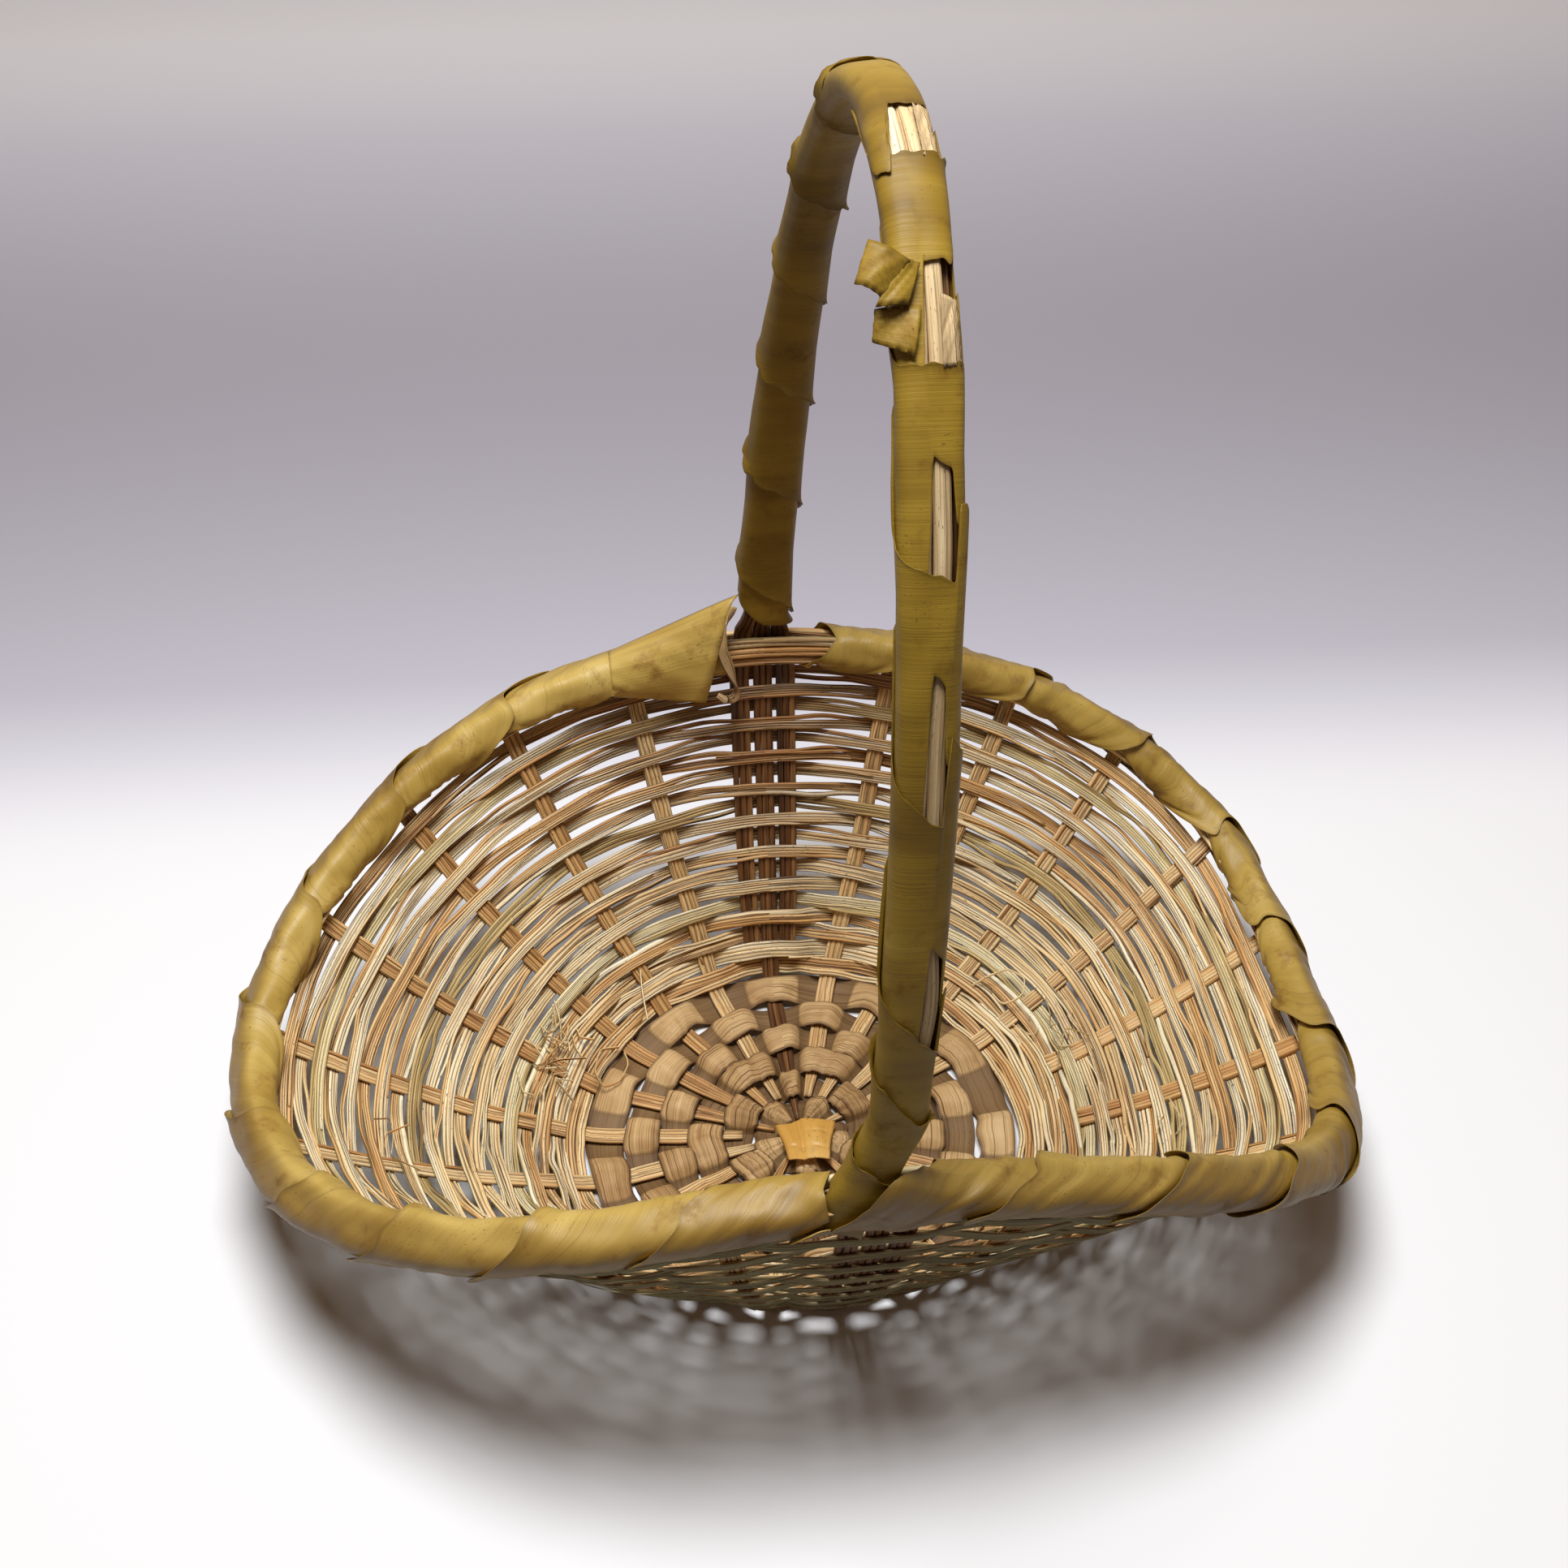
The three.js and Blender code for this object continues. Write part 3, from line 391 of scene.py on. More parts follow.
def tinted(tree, colour, shade, share, depth, blend="MULTIPLY"):
    """A colour with a shade of 0 to 255 laid over it, by a share of the surface times a depth."""
    return blend_colours(tree, blend, compute(tree, "MULTIPLY", share, depth), colour, linear(shade))


def scaled_place(tree, scale, shift=0.0):
    """The map, metres along and across, stretched, with the part's own tone as the third coordinate."""
    place = add_node(tree, "SeparateXYZ", {0: add_node(tree, "UVMap", uv_map="grain").outputs["UV"]})
    along = compute(tree, "MULTIPLY_ADD", place.outputs["X"], scale[0], shift)
    across = compute(tree, "MULTIPLY", place.outputs["Y"], scale[1])
    layer = compute(tree, "MULTIPLY_ADD", piece_value(tree, "tone"), 61.0, shift)
    return add_node(tree, "CombineXYZ", {"X": along, "Y": across, "Z": layer}).outputs[0]


def noise(tree, vector, scale=1.0, detail=3.0, roughness=0.55):
    """Noise between 0 and 1 at a place."""
    inputs = {"Vector": vector, "Scale": scale, "Detail": detail, "Roughness": roughness}
    return add_node(tree, "TexNoise", inputs).outputs["Fac"]


def facing_out(tree, none, full):
    """0 to 1: how far a face points level away from the middle of the basket, as the normal's share along
    the level direction from the middle, ramped between two values."""
    place = {0: object_place(tree), 1: (1.0, 1.0, 0.0)}
    level = add_node(tree, "VectorMath", place, operation="MULTIPLY").outputs[0]
    away = add_node(tree, "VectorMath", {0: level}, operation="NORMALIZE").outputs[0]
    faces = {0: add_node(tree, "TexCoord").outputs["Normal"], 1: away}
    share = add_node(tree, "VectorMath", faces, operation="DOT_PRODUCT").outputs["Value"]
    return mask(tree, share, none, full)


def splint_material(name, colours, roughness=0.5, line_and_furrow_shade_depth=0.5, stain=0.5, skin=None):
    """Split palm: fine lengthwise fibres with dark lines, furrows darkened as painted shade, a tone for each
    splint that drifts along it, brown stains and black specks. Skin is the dark and light colour of the
    faces that point away from the middle of the basket, where the rib's outer skin was left on. A splint
    that has it also gets painted shade: it is darker and browner round one place high on the back wall."""
    material, tree, shader = new_material(name)
    where = object_place(tree)
    fibres = noise(tree, scaled_place(tree, (30.0, 2600.0)), detail=3.0, roughness=0.6)
    drift = noise(tree, scaled_place(tree, (11.0, 260.0), 7.0), detail=2.0)
    lines = noise(tree, scaled_place(tree, (16.0, 1500.0), 19.0), detail=1.0)
    speckled = noise(tree, scaled_place(tree, (520.0, 1900.0), 3.0), detail=1.0)
    patches = noise(tree, where, scale=26.0, detail=3.0)
    shade = compute(tree, "MULTIPLY_ADD", fibres, 0.75, -0.42)
    shade = compute(tree, "MULTIPLY_ADD", drift, 0.75, shade)
    shade = compute(tree, "MULTIPLY_ADD", piece_value(tree, "tone"), 0.42, shade)
    colour = ramp(tree, shade, list(zip((0.12, 0.38, 0.62, 0.85), map(linear, colours))))
    crease = mask(tree, lines, 0.41, 0.32)
    # The dark fibre lines are the palm's own colour; furrows, where edge is low, are darkened as painted
    # shade.
    furrow_shade = mask(tree, piece_value(tree, "edge"), 0.65, 0.0)
    colour = tinted(tree, colour, (82, 46, 22), compute(tree, "MAXIMUM", crease, furrow_shade), line_and_furrow_shade_depth)
    colour = tinted(tree, colour, (168, 118, 70), mask(tree, patches, 0.52, 0.72), stain)
    if skin:
        # Painted shade: splints round one place high on the back wall are made darker and browner.
        reach = add_node(tree, "VectorMath", {0: where, 1: PAINTED_SHADE_PLACE}, operation="DISTANCE")
        reach = compute(tree, "MULTIPLY_ADD", patches, 0.08, reach.outputs["Value"])
        colour = tinted(tree, colour, (160, 118, 76), mask(tree, reach, 0.15, 0.05), 0.8)
        outer = ramp(tree, shade, list(zip((0.1, 0.75), map(linear, skin))))
        share = compute(tree, "MULTIPLY", facing_out(tree, 0.15, 0.45), 0.85)
        colour = blend_colours(tree, "MIX", share, colour, outer)
    specks = compute(tree, "MULTIPLY", mask(tree, speckled, 0.66, 0.71), mask(tree, drift, 0.42, 0.6))
    colour = tinted(tree, colour, (58, 34, 20), specks, 0.8, "MIX")
    height = compute(tree, "MULTIPLY_ADD", crease, -0.7, fibres)
    bump = add_node(tree, "Bump", {"Strength": 0.75, "Distance": 0.0004, "Height": height})
    fill(tree, shader, {
        "Base Color": colour,
        "Roughness": compute(tree, "MULTIPLY_ADD", fibres, 0.35, roughness - 0.17),
        "Normal": bump.outputs[0],
        "Specular IOR Level": 0.35,
    })
    return material


def round_knee(station, distance):
    """Points and widthwise directions at distances from the knee, negative inwards on the base and
    positive up the wall. The knee is rounded by averaging over its reach to both sides."""
    around = np.asarray(distance)[..., None] + np.linspace(-KNEE_REACH, KNEE_REACH, 9)
    station = np.asarray(station, float)[..., None]
    on_base = base_point(station, BASE_RADIUS + np.minimum(around, 0))
    climbing = np.maximum(around, 0) / wall_curve(station, 0.0)[2]
    wall, across, _, _ = wall_frame(station, climbing)
    angle = np.pi / 2 + 2 * np.pi * station / STATIONS
    tangent = np.stack([-np.sin(angle), np.cos(angle), 0 * angle], -1)
    outside_base = (around > 0)[..., None]
    points = np.where(outside_base, wall, on_base).mean(-2)
    return points, unit(np.where(outside_base, across, tangent).mean(-2))


def stake_path(station, start, end, step=STAKE_STEP):
    """Points, widthwise directions and distances from the knee along a stake's middle."""
    distance = np.linspace(start, end, int(np.ceil((end - start) / step)) + 1)
    points, across = round_knee(station, distance)
    return points, across, distance


def stake_width(distance, full):
    """The full width, narrowed towards the crowded middle of the base."""
    radius = BASE_RADIUS + np.minimum(distance, 0)
    return np.minimum(full, STAKE_CROWDING * 2 * np.pi * radius / STATIONS)


def outward(points, across):
    """The direction square to a path and to its width."""
    return np.cross(across, unit(np.gradient(points, axis=0)))


stake_material = splint_material("split_palm_tan", TAN_COLOURS, line_and_furrow_shade_depth=0.75, stain=0.4)


def inserted_splints(station, top, tone, draw):
    """The loose splints of a stake put in later, side by side and a little splayed at their cut ends."""
    parts = []
    for lane in range(INSERTED_SPLINTS):
        start = INSERTED_STAKES[station] + draw.uniform(*INSERTED_ENDS)
        points, across, distance = stake_path(station, start, top)
        place = (lane + 0.5) / INSERTED_SPLINTS - 0.5
        drift = wave(distance / WANDER_LENGTH, 1000 + 10 * station + lane, 1, 7)
        normal = outward(points, across)
        splay = np.exp(-(distance - start) / SPLAY_LENGTH)
        sideways = STAKE_WIDTH * place + SPLINT_DRIFT * drift + INSERTED_SPLAY * place * splay
        path = points + across * sideways[:, None]
        path = path - normal * (SPLAY_LIFT * splay * draw.uniform(0, 1))[:, None]
        lift = SPLINT_LIFT * wave(distance / WANDER_LENGTH, 3000 + 10 * station + lane, 2, 12)
        thickness = STAKE_THICKNESS * draw.uniform(0.78, 0.95)
        parts.append(splint(path + normal * lift[:, None], across, STAKE_WIDTH / INSERTED_SPLINTS, thickness,
                            tone=tone + draw.uniform(-0.2, 0.2), start=draw.uniform()))
    return parts


def stake_splints(station, top, tone, draw):
    """One ridged rib from near the middle of the base to the rim, and a loose strand on its inner side."""
    inner = STAKE_INNER_RADIUS if station in CENTRE_STATIONS else SHORT_STAKE_INNER_RADIUS
    start = inner - BASE_RADIUS + draw.uniform(0, 0.004)
    points, across, distance = stake_path(station, start, top)
    full = stake_width(distance, STAKE_WIDTH)
    normal = outward(points, across)
    place = distance / WANDER_LENGTH
    path = points + across * (STAKE_DRIFT * wave(place, 1000 + station, 1, 6))[:, None]
    width = full * (0.97 + 0.03 * wave(place, 1100 + station, 1, 8))
    ridges = int(draw.choice([4, 5, 5, 6]))
    rib = ribbed(path, across, width, STAKE_THICKNESS * 0.9, ridges, 1200 + 10 * station, tone=tone,
                 start=draw.uniform(), furrow=STAKE_FURROW)
    loose = distance > draw.uniform(0.0, 0.05)
    lift = STAKE_THICKNESS / 2 + STRAND_STANDOFF + 0.00015 * wave(place, 1300 + station, 2, 14)
    shift = 0.3 * draw.choice([-1, 1]) * full + 0.0006 * wave(place, 1400 + station, 1, 4)
    path = points + across * shift[:, None] - normal * lift[:, None]
    strand = splint(path[loose], across[loose], STRAND_WIDTH, STRAND_THICKNESS, tone=draw.uniform(),
                    start=draw.uniform())
    return [rib, strand]


for station in range(1, STATIONS):
    if station == HALF_TURN:
        continue
    draw = np.random.default_rng(100 + station)
    tone = SHADED_STAKE_TONES.get(station, draw.uniform(0.5, 0.95))
    top = wall_curve(station, 0.0)[2] + STAKE_TOP
    build = inserted_splints if station in INSERTED_STAKES else stake_splints
    node = f"stake_{station:02d}"
    stake = make_piece(node + "_splints", build(station, top, tone, draw), stake_material)
    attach(stake, "root")
    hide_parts(node)

# Base leaf strips: wide, dry, taupe strips of leaf woven round the base. The innermost round weaves
# the stakes that reach the middle, the next two take the stakes in pairs and the outer ones singly.
# The last bends up with the knee.
LEAF_WIDTH = 0.011
LEAF_THICKNESS = 0.0007
LEAF_FIRST_RADIUS = 0.0125
LEAF_PITCH = 0.0125
PAIRED_ROUNDS = 2
SINGLE_ROUNDS = 2
LEAF_OFFSET = 0.0019
LEAF_CROWN = 0.0032
LEAF_CENTRE_FULLNESS = 0.35
LEAF_SPREAD = 1.1
LEAF_OPENING = 0.16
LEAF_DRIFT = 0.0007
LEAF_UNEVENNESS = 0.03
KNEE_LEAF_INSIDE = 0.0104
KNEE_LEAF_OUTSIDE = 0.0044
KNEE_LEAF_CROWN = 0.0034
LEAF_FOLD = 0.0012
LEAF_FOLD_REACH = 0.09
LEAF_TILT = 0.0006
LEAF_CURL = 0.001
LEAF_RIPPLE = 0.0003
LEAF_LOWEST = 0.0005
HANDLE_STRIP_WIDTH_LOW = 0.0068
HANDLE_STRIP_WIDTH_RIM = 0.0079
LEAF_EDGE = 0.003
LEAF_COLUMNS = 13
LEAF_STEPS_PER_SPACE = 20
BASE_LEAF_COLOURS = [(98, 68, 38), (166, 130, 84), (206, 172, 122), (236, 210, 162)]


def edge_spaced(count):
    """Shares from 0 to 1 that lie closer towards both ends: a cosine's half turn."""
    return (1 - np.cos(np.pi * np.linspace(0, 1, count))) / 2


def smoothstep(value, low, high):
    """0 below low, 1 above high, with an S-shaped rise between."""
    share = np.clip((value - low) / (high - low), 0, 1)
    return share * share * (3 - 2 * share)


def hump(value, middle, reach):
    """1 at the middle, down to about a third at the reach on each side of it, and nearly 0 at twice it:
    e to the power of minus the square of the distance, counted in reaches."""
    return np.exp(-(((value - middle) / reach) ** 2))


def is_handle(station):
    """Whether the handle's strips stand at a station."""
    return np.mod(station, HALF_TURN) == 0


def woven_side(stations, starts, ends, sides, sharpness=0.4):
    """Which side a strip runs: flat at each side value from start to end of what it passes, then over
    to the next side in a bend that is part straight and part sine."""
    knots = np.stack([starts, ends], -1).ravel()
    values = np.repeat(sides, 2)
    straight = np.interp(stations, knots, values, period=STATIONS)
    return sharpness * straight + (1 - sharpness) * np.sin(np.pi / 2 * straight)


def leaf_part(grid, width, columns, closed, tone, thickness=LEAF_THICKNESS, crosswise=None, body=1.0):
    """A strip of leaf: a grid of points with half its thickness to each side. Columns are the grid's
    shares of the width, which is one value or one for each row. The thickness falls to about a third at
    both edges. Crosswise is the map's place across, where that isn't the place across the strip. Body
    scales the edge value, which the shader turns into wear and painted shade: the base's rounds set it low
    where a strip passes under the stakes, to paint the shade there."""
    width = np.broadcast_to(width, len(grid))[:, None]
    columns = np.broadcast_to(columns, grid.shape[:2])
    inside = np.clip(np.minimum(columns, 1 - columns) * width / LEAF_EDGE, 0, 1)
    normal = unit(np.cross(steps_ahead(grid, closed), np.gradient(grid, axis=1)))
    half = normal * (thickness * (0.35 + 0.65 * np.sqrt(inside)) / 2)[..., None]
    sections = np.concatenate([grid + half, (grid - half)[:, ::-1]], 1)
    across = columns * width if crosswise is None else crosswise
    across, edges = (np.concatenate([value, value[:, ::-1]], 1) for value in (across, inside * body))
    return loft(sections, travelled(grid[:, grid.shape[1] // 2]), across, closed, tone, edges)


def leaf_material(name, colours, roughness, veins_at, creases_at, blotch, gloss, shaded=0.25, painted_outer_shade=0.0):
    """Palm leaf: fine veins and dark creases along the strip, each given as lines a metre and depth, slow
    changes of colour, rough brown blotches, dark specks, drier edges, painted shade that darkens the edges
    and wherever the edge value is low by one share, and painted shade that makes faces pointing outwards
    browner by another share."""
    material, tree, shader = new_material(name)
    where = object_place(tree)
    edge = piece_value(tree, "edge")
    vein_scale, vein_depth = veins_at
    crease_scale, crease_depth = creases_at
    veins = noise(tree, scaled_place(tree, (9.0, vein_scale)), detail=3.0, roughness=0.6)
    broad = noise(tree, scaled_place(tree, (16.0, 90.0), 5.0), detail=2.0)
    fine = noise(tree, scaled_place(tree, (700.0, 1500.0), 11.0), detail=1.0)
    lines = noise(tree, scaled_place(tree, (7.0, crease_scale), 23.0), detail=1.0)
    slow = noise(tree, where, scale=17.0, detail=2.0)
    rotten = noise(tree, where, scale=75.0, detail=4.0, roughness=0.65)
    shade = compute(tree, "MULTIPLY_ADD", veins, vein_depth, -vein_depth / 2)
    shade = compute(tree, "MULTIPLY_ADD", broad, 0.42, shade)
    shade = compute(tree, "MULTIPLY_ADD", slow, 0.68, shade)
    colour = ramp(tree, shade, list(zip((0.22, 0.44, 0.64, 0.88), map(linear, colours))))
    blotches = mask(tree, rotten, 0.56, 0.74)
    colour = tinted(tree, colour, (176, 134, 78), blotches, blotch)
    specks = compute(tree, "MULTIPLY", mask(tree, fine, 0.69, 0.75), mask(tree, broad, 0.46, 0.6))
    colour = tinted(tree, colour, (58, 40, 20), specks, 0.65, "MIX")
    crease = mask(tree, lines, 0.40, 0.30)
    colour = tinted(tree, colour, (112, 74, 44), crease, crease_depth)
    worn = mask(tree, compute(tree, "MULTIPLY_ADD", veins, 0.5, edge), 0.75, 0.3)
    colour = tinted(tree, colour, colours[1], worn, 0.45, "MIX")
    # Painted shade: edges and stretches with a low edge value are darkened.
    colour = tinted(tree, colour, (98, 72, 38), mask(tree, edge, 0.5, 0.0), shaded)
    # Painted shade: faces that point outwards are made browner.
    if painted_outer_shade:
        colour = tinted(tree, colour, (198, 186, 160), facing_out(tree, 0.1, 0.8), painted_outer_shade)
    rough = compute(tree, "MULTIPLY_ADD", veins, 0.25, roughness - 0.12)
    height = compute(tree, "MULTIPLY_ADD", crease, -crease_depth, veins)
    bump = add_node(tree, "Bump", {"Strength": 0.6, "Distance": 0.00025, "Height": height})
    fill(tree, shader, {
        "Base Color": colour,
        "Roughness": compute(tree, "MULTIPLY_ADD", blotches, 0.2, rough),
        "Normal": bump.outputs[0],
        "Specular IOR Level": gloss,
    })
    return material


def leaf_round(turn, groups):
    """One round of leaf on the base. Its height is its side of the stakes, plus on each stretch that
    passes over them a dome: a crown across the strip, a tilt, a fold, a ripple and curled edges. The
    strip opens a little where it is raised."""
    radius = LEAF_FIRST_RADIUS + turn * LEAF_PITCH
    spacing = 2 * np.pi * radius / STATIONS
    reach = stake_width(radius - BASE_RADIUS, STAKE_WIDTH) / 2 / spacing
    starts = np.array([group[0] - reach for group in groups])
    ends = np.array([group[-1] + reach for group in groups])
    above = -np.where((np.arange(len(groups)) + turn) % 2 == 0, 1.0, -1.0)
    side = woven_side(leaf_stations, starts, ends, above, sharpness=0.25)
    centres, crossings = (starts + ends) / 2, (ends + np.append(starts[1:], starts[0] + STATIONS)) / 2
    peaks = np.repeat([1.0, 0.0], len(groups))
    arch = np.interp(leaf_stations, np.append(centres, crossings), peaks, period=STATIONS)
    dome = np.where(side > 0, np.sin(np.pi / 2 * np.clip(1.25 * arch, 0, 1)), 0)[:, None]
    uneven = LEAF_UNEVENNESS * wave(leaf_place, 7000 + turn, 6, 22)
    width = LEAF_WIDTH * (LEAF_SPREAD + LEAF_OPENING * smoothstep(dome[:, 0], 0.0, 0.5) + uneven)
    middle = radius + LEAF_DRIFT * wave(leaf_place, 7100 + turn, 5, 14)
    reach_out = (spread_columns - 0.5) * width[:, None]
    fullness = 0.85 + 0.3 * wave(leaf_place, 7200 + turn, 8, 24)[:, None]
    fullness = (LEAF_CENTRE_FULLNESS if turn == 0 else 1.0) * fullness
    crown = LEAF_CROWN * fullness * (0.25 + 0.75 * bow)
    tilt = LEAF_TILT * (1 - 2 * spread_columns)
    crest = 0.5 + 0.3 * wave(leaf_place, 7500 + turn, 6, 14)[:, None]
    fold = LEAF_FOLD * hump(spread_columns, crest, LEAF_FOLD_REACH)
    fold = fold * wave(leaf_place, 7600 + turn, 9, 24)[:, None]
    ripple = wave(leaf_place[:, None] + 0.02 * spread_columns, 7300 + turn, 30, 70, 6)
    curl = wave(leaf_place, 7400 + turn, 10, 40)[:, None] * np.abs(2 * spread_columns - 1) ** 3
    rise = crown + tilt + fold + LEAF_RIPPLE * ripple + LEAF_CURL * curl
    height = STAKE_LEVEL + LEAF_OFFSET * side[:, None] + dome * rise
    circle = base_point(leaf_stations[:, None], middle[:, None] + reach_out)
    grid = np.concatenate([circle[..., :2], np.maximum(height, LEAF_LOWEST)[..., None]], -1)
    # Low where the strip passes under the stakes: painted shade there, with wear, through the edge value.
    unworn_and_unshaded = np.clip(0.1 + 2.2 * dome, 0, 1)
    return leaf_part(grid, width, spread_columns, True, 0.2 + 0.17 * turn, crosswise=even_map, body=unworn_and_unshaded)


def knee_round():
    """The last round, which bends up with the knee: it stands off the rounded knee by its side of the
    stakes, with a crown on each stretch that passes inside them."""
    spacing = 2 * np.pi * BASE_RADIUS / STATIONS
    reach = np.where(is_handle(whole_stations), HANDLE_STRIP_WIDTH_LOW, STAKE_WIDTH) / 2 / spacing
    sides = np.where(whole_stations % 2 == 0, -1.0, 1.0)
    side = woven_side(leaf_stations, whole_stations - reach, whole_stations + reach, sides)[:, None]
    inner = -KNEE_LEAF_INSIDE - 0.001 * wave(leaf_place, 7700, 8, 30)
    outer = KNEE_LEAF_OUTSIDE + 0.0006 * np.minimum(wave(leaf_place, 7710, 8, 30), 0)
    distance = inner[:, None] + (outer - inner)[:, None] * spread_columns
    point, across = round_knee(leaf_stations[:, None], distance)
    out = unit(np.cross(across, np.gradient(point, axis=1)))
    ripple = wave(leaf_place[:, None] + 0.004 * spread_columns, 7720, 90, 160, 6)
    curl = wave(leaf_place, 7730, 10, 40)[:, None] * (1 - spread_columns) ** 3
    raised = np.clip(-side, 0, 1)
    crown = -raised * (KNEE_LEAF_CROWN * bow + 0.0003 * ripple + 0.0012 * np.clip(curl, 0, 1))
    grid = point + out * (side * (LEAF_OFFSET + 0.0003 * spread_columns) + crown)[..., None]
    grid[..., 2] = np.maximum(grid[..., 2], LEAF_LOWEST)
    # Low where the strip passes outside the stakes: painted shade there, with wear, through the edge value.
    unworn_and_unshaded = np.clip(0.1 + 2.2 * raised, 0, 1)
    return leaf_part(grid, outer - inner, spread_columns, True, 0.95, crosswise=even_map, body=unworn_and_unshaded)


base_leaf_material = leaf_material("dry_leaf_taupe", BASE_LEAF_COLOURS, 0.6, (2600.0, 0.7), (1700.0, 0.8),
                                   0.45, 0.3, 0.8)
whole_stations = np.arange(STATIONS)
singles = [[n] for n in range(STATIONS)]
centre_singles = [[n] for n in CENTRE_STATIONS]
pairs = [[0]] + [[n, n + 1] for n in range(1, HALF_TURN, 2)] + [[HALF_TURN]]
pairs += [[n, n + 1] for n in range(HALF_TURN + 1, STATIONS, 2)]
leaf_stations = np.arange(STATIONS * LEAF_STEPS_PER_SPACE) / LEAF_STEPS_PER_SPACE
leaf_place = leaf_stations / STATIONS
spread_columns = edge_spaced(LEAF_COLUMNS)
bow = 1 - (2 * spread_columns - 1) ** 2
even_map = np.broadcast_to(spread_columns * LEAF_WIDTH, (len(leaf_stations), LEAF_COLUMNS))
round_groups = [centre_singles] + [pairs] * PAIRED_ROUNDS + [singles] * SINGLE_ROUNDS
rounds = [leaf_round(turn, groups) for turn, groups in enumerate(round_groups)] + [knee_round()]
for number, part in enumerate(rounds, 1):
    node = f"base_leaf_strip_{number:02d}"
    strip = make_piece(node + "_leaf", [part], base_leaf_material)
    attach(strip, "root")
    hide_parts(node)

# Centre patch: a scrap of yellow leaf, folded along one line, that covers the ends of the stakes in the
# middle of the base and lies on the innermost rounds of leaf.
PATCH_CORNERS = [(-0.0055, -0.0010), (0.0175, -0.0020), (0.0120, -0.0225), (-0.0030, -0.0200)]
PATCH_WIDTH = 0.022
PATCH_LEVEL = 0.0062
PATCH_FOLD = 0.42
PATCH_DRAWN_IN = 0.0022
PATCH_SWELL = 0.0016
PATCH_FAR_SWELL = 0.0018
PATCH_SLOPE = 0.0024
PATCH_STEPS = 40
PATCH_COLUMNS = 34
PATCH_COLOURS = [(146, 94, 32), (196, 142, 58), (218, 170, 84), (236, 202, 130)]

down, over = np.meshgrid(np.linspace(0, 1, PATCH_STEPS), np.linspace(0, 1, PATCH_COLUMNS), indexing="ij")
corners = np.array(PATCH_CORNERS)[:, None, None]
top_edge, low_edge = (corners[a] + (corners[b] - corners[a]) * over[..., None] for a, b in ((0, 1), (3, 2)))
flat = top_edge + (low_edge - top_edge) * down[..., None]
drawn_in = PATCH_DRAWN_IN * hump(over, PATCH_FOLD, 0.16) * (1 - down)
flat[..., 1] += drawn_in + 0.0006 * np.sin(9 * over + 2) * (1 - down)
flat[..., 0] += 0.0006 * np.sin(7 * down + 1) * (over - 0.5)
beyond_fold = 0.5 + 0.5 * np.tanh((over - PATCH_FOLD) / 0.02)
swell = PATCH_SWELL * np.sin(np.pi * np.clip(over / PATCH_FOLD, 0, 1)) * (1 - beyond_fold)
beyond = np.clip((over - PATCH_FOLD) / (1 - PATCH_FOLD), 0, 1)
swell = swell + PATCH_FAR_SWELL * np.sin(np.pi * beyond) * beyond_fold
creases = -0.0006 * hump(down - 0.62 - 0.1 * over, 0, 0.04)
creases = creases - 0.0004 * hump(down, 0.3, 0.03) * beyond_fold
rise = swell * np.sin(np.pi * (0.15 + 0.7 * down)) + creases + 0.0009 * beyond_fold + PATCH_SLOPE * down**1.5
grid = np.concatenate([flat, (PATCH_LEVEL + rise)[..., None]], -1)
patch_material = leaf_material("dry_leaf_yellow", PATCH_COLOURS, 0.42, (1400.0, 0.15), (700.0, 0.1), 0.6, 0.5)
patch_leaf = leaf_part(grid, PATCH_WIDTH, over[0], False, 0.5)
patch = make_piece("centre_leaf_patch_leaf", [patch_leaf], patch_material)
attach(patch, "root")
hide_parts("centre_leaf_patch")

# Wall weavers: 21 rings of flat straw strips, woven outside one stake and inside the next. Each ring is
# one wide ridged strip with a narrower one beside it that parts from it between the stakes, and a few
# loose splints. The two top rings run inside the rim binding.
WALL_ROWS = 21
SPACED_ROWS = 19
WEAVER_WIDTH = 0.0051
WEAVER_THICKNESS = 0.0013
FIRST_ROW_DISTANCE = 0.009
LAST_ROW_BELOW_RIM = 0.0113
TOP_ROW_OFFSET = 0.0032
WEAVER_STEPS_PER_SPACE = 14
WEAVER_FURROW = 0.00042
WEAVER_CLEARANCE = 0.00015
WEAVER_DRIFT = 0.00045
WEAVER_BULGE = 0.0006
LANE_DRIFT = 0.0002
LANE_BULGE = 0.0004
PARTING = 0.0004
PARTING_SPREAD = 0.001
TOP_ROW_WIDTH = 0.0045
FIRST_ROWS_WIDER = 0.38
FIRST_ROWS_FADE = 2.2
HANDLE_STRIP_THICKNESS = 0.0026
STRIP_GAP_BASE = 0.0003
STRIP_GAP_WALL = 0.0013
LOOSE_STRANDS = 4
LOOSE_STRAND_WIDTHS = (0.0006, 0.0011)
LOOSE_STRAND_THICKNESS = 0.0004
LOOSE_STRAND_LENGTHS = (0.9, 2.4)
LOOSE_STRAND_STANDOFF = 0.0003
LOOSE_STRAND_DRIFT = 0.0009
LOOSE_STRAND_BULGE = 0.0006
GREEN_ROWS = (4, 10, 16)
STRAW_COLOURS = [(112, 62, 24), (228, 174, 108), (255, 226, 170), (255, 247, 218)]
GREEN_STRAW_COLOURS = [(120, 88, 40), (218, 190, 128), (244, 224, 168), (252, 244, 210)]
SKIN_COLOURS = [(78, 68, 36), (158, 148, 98)]

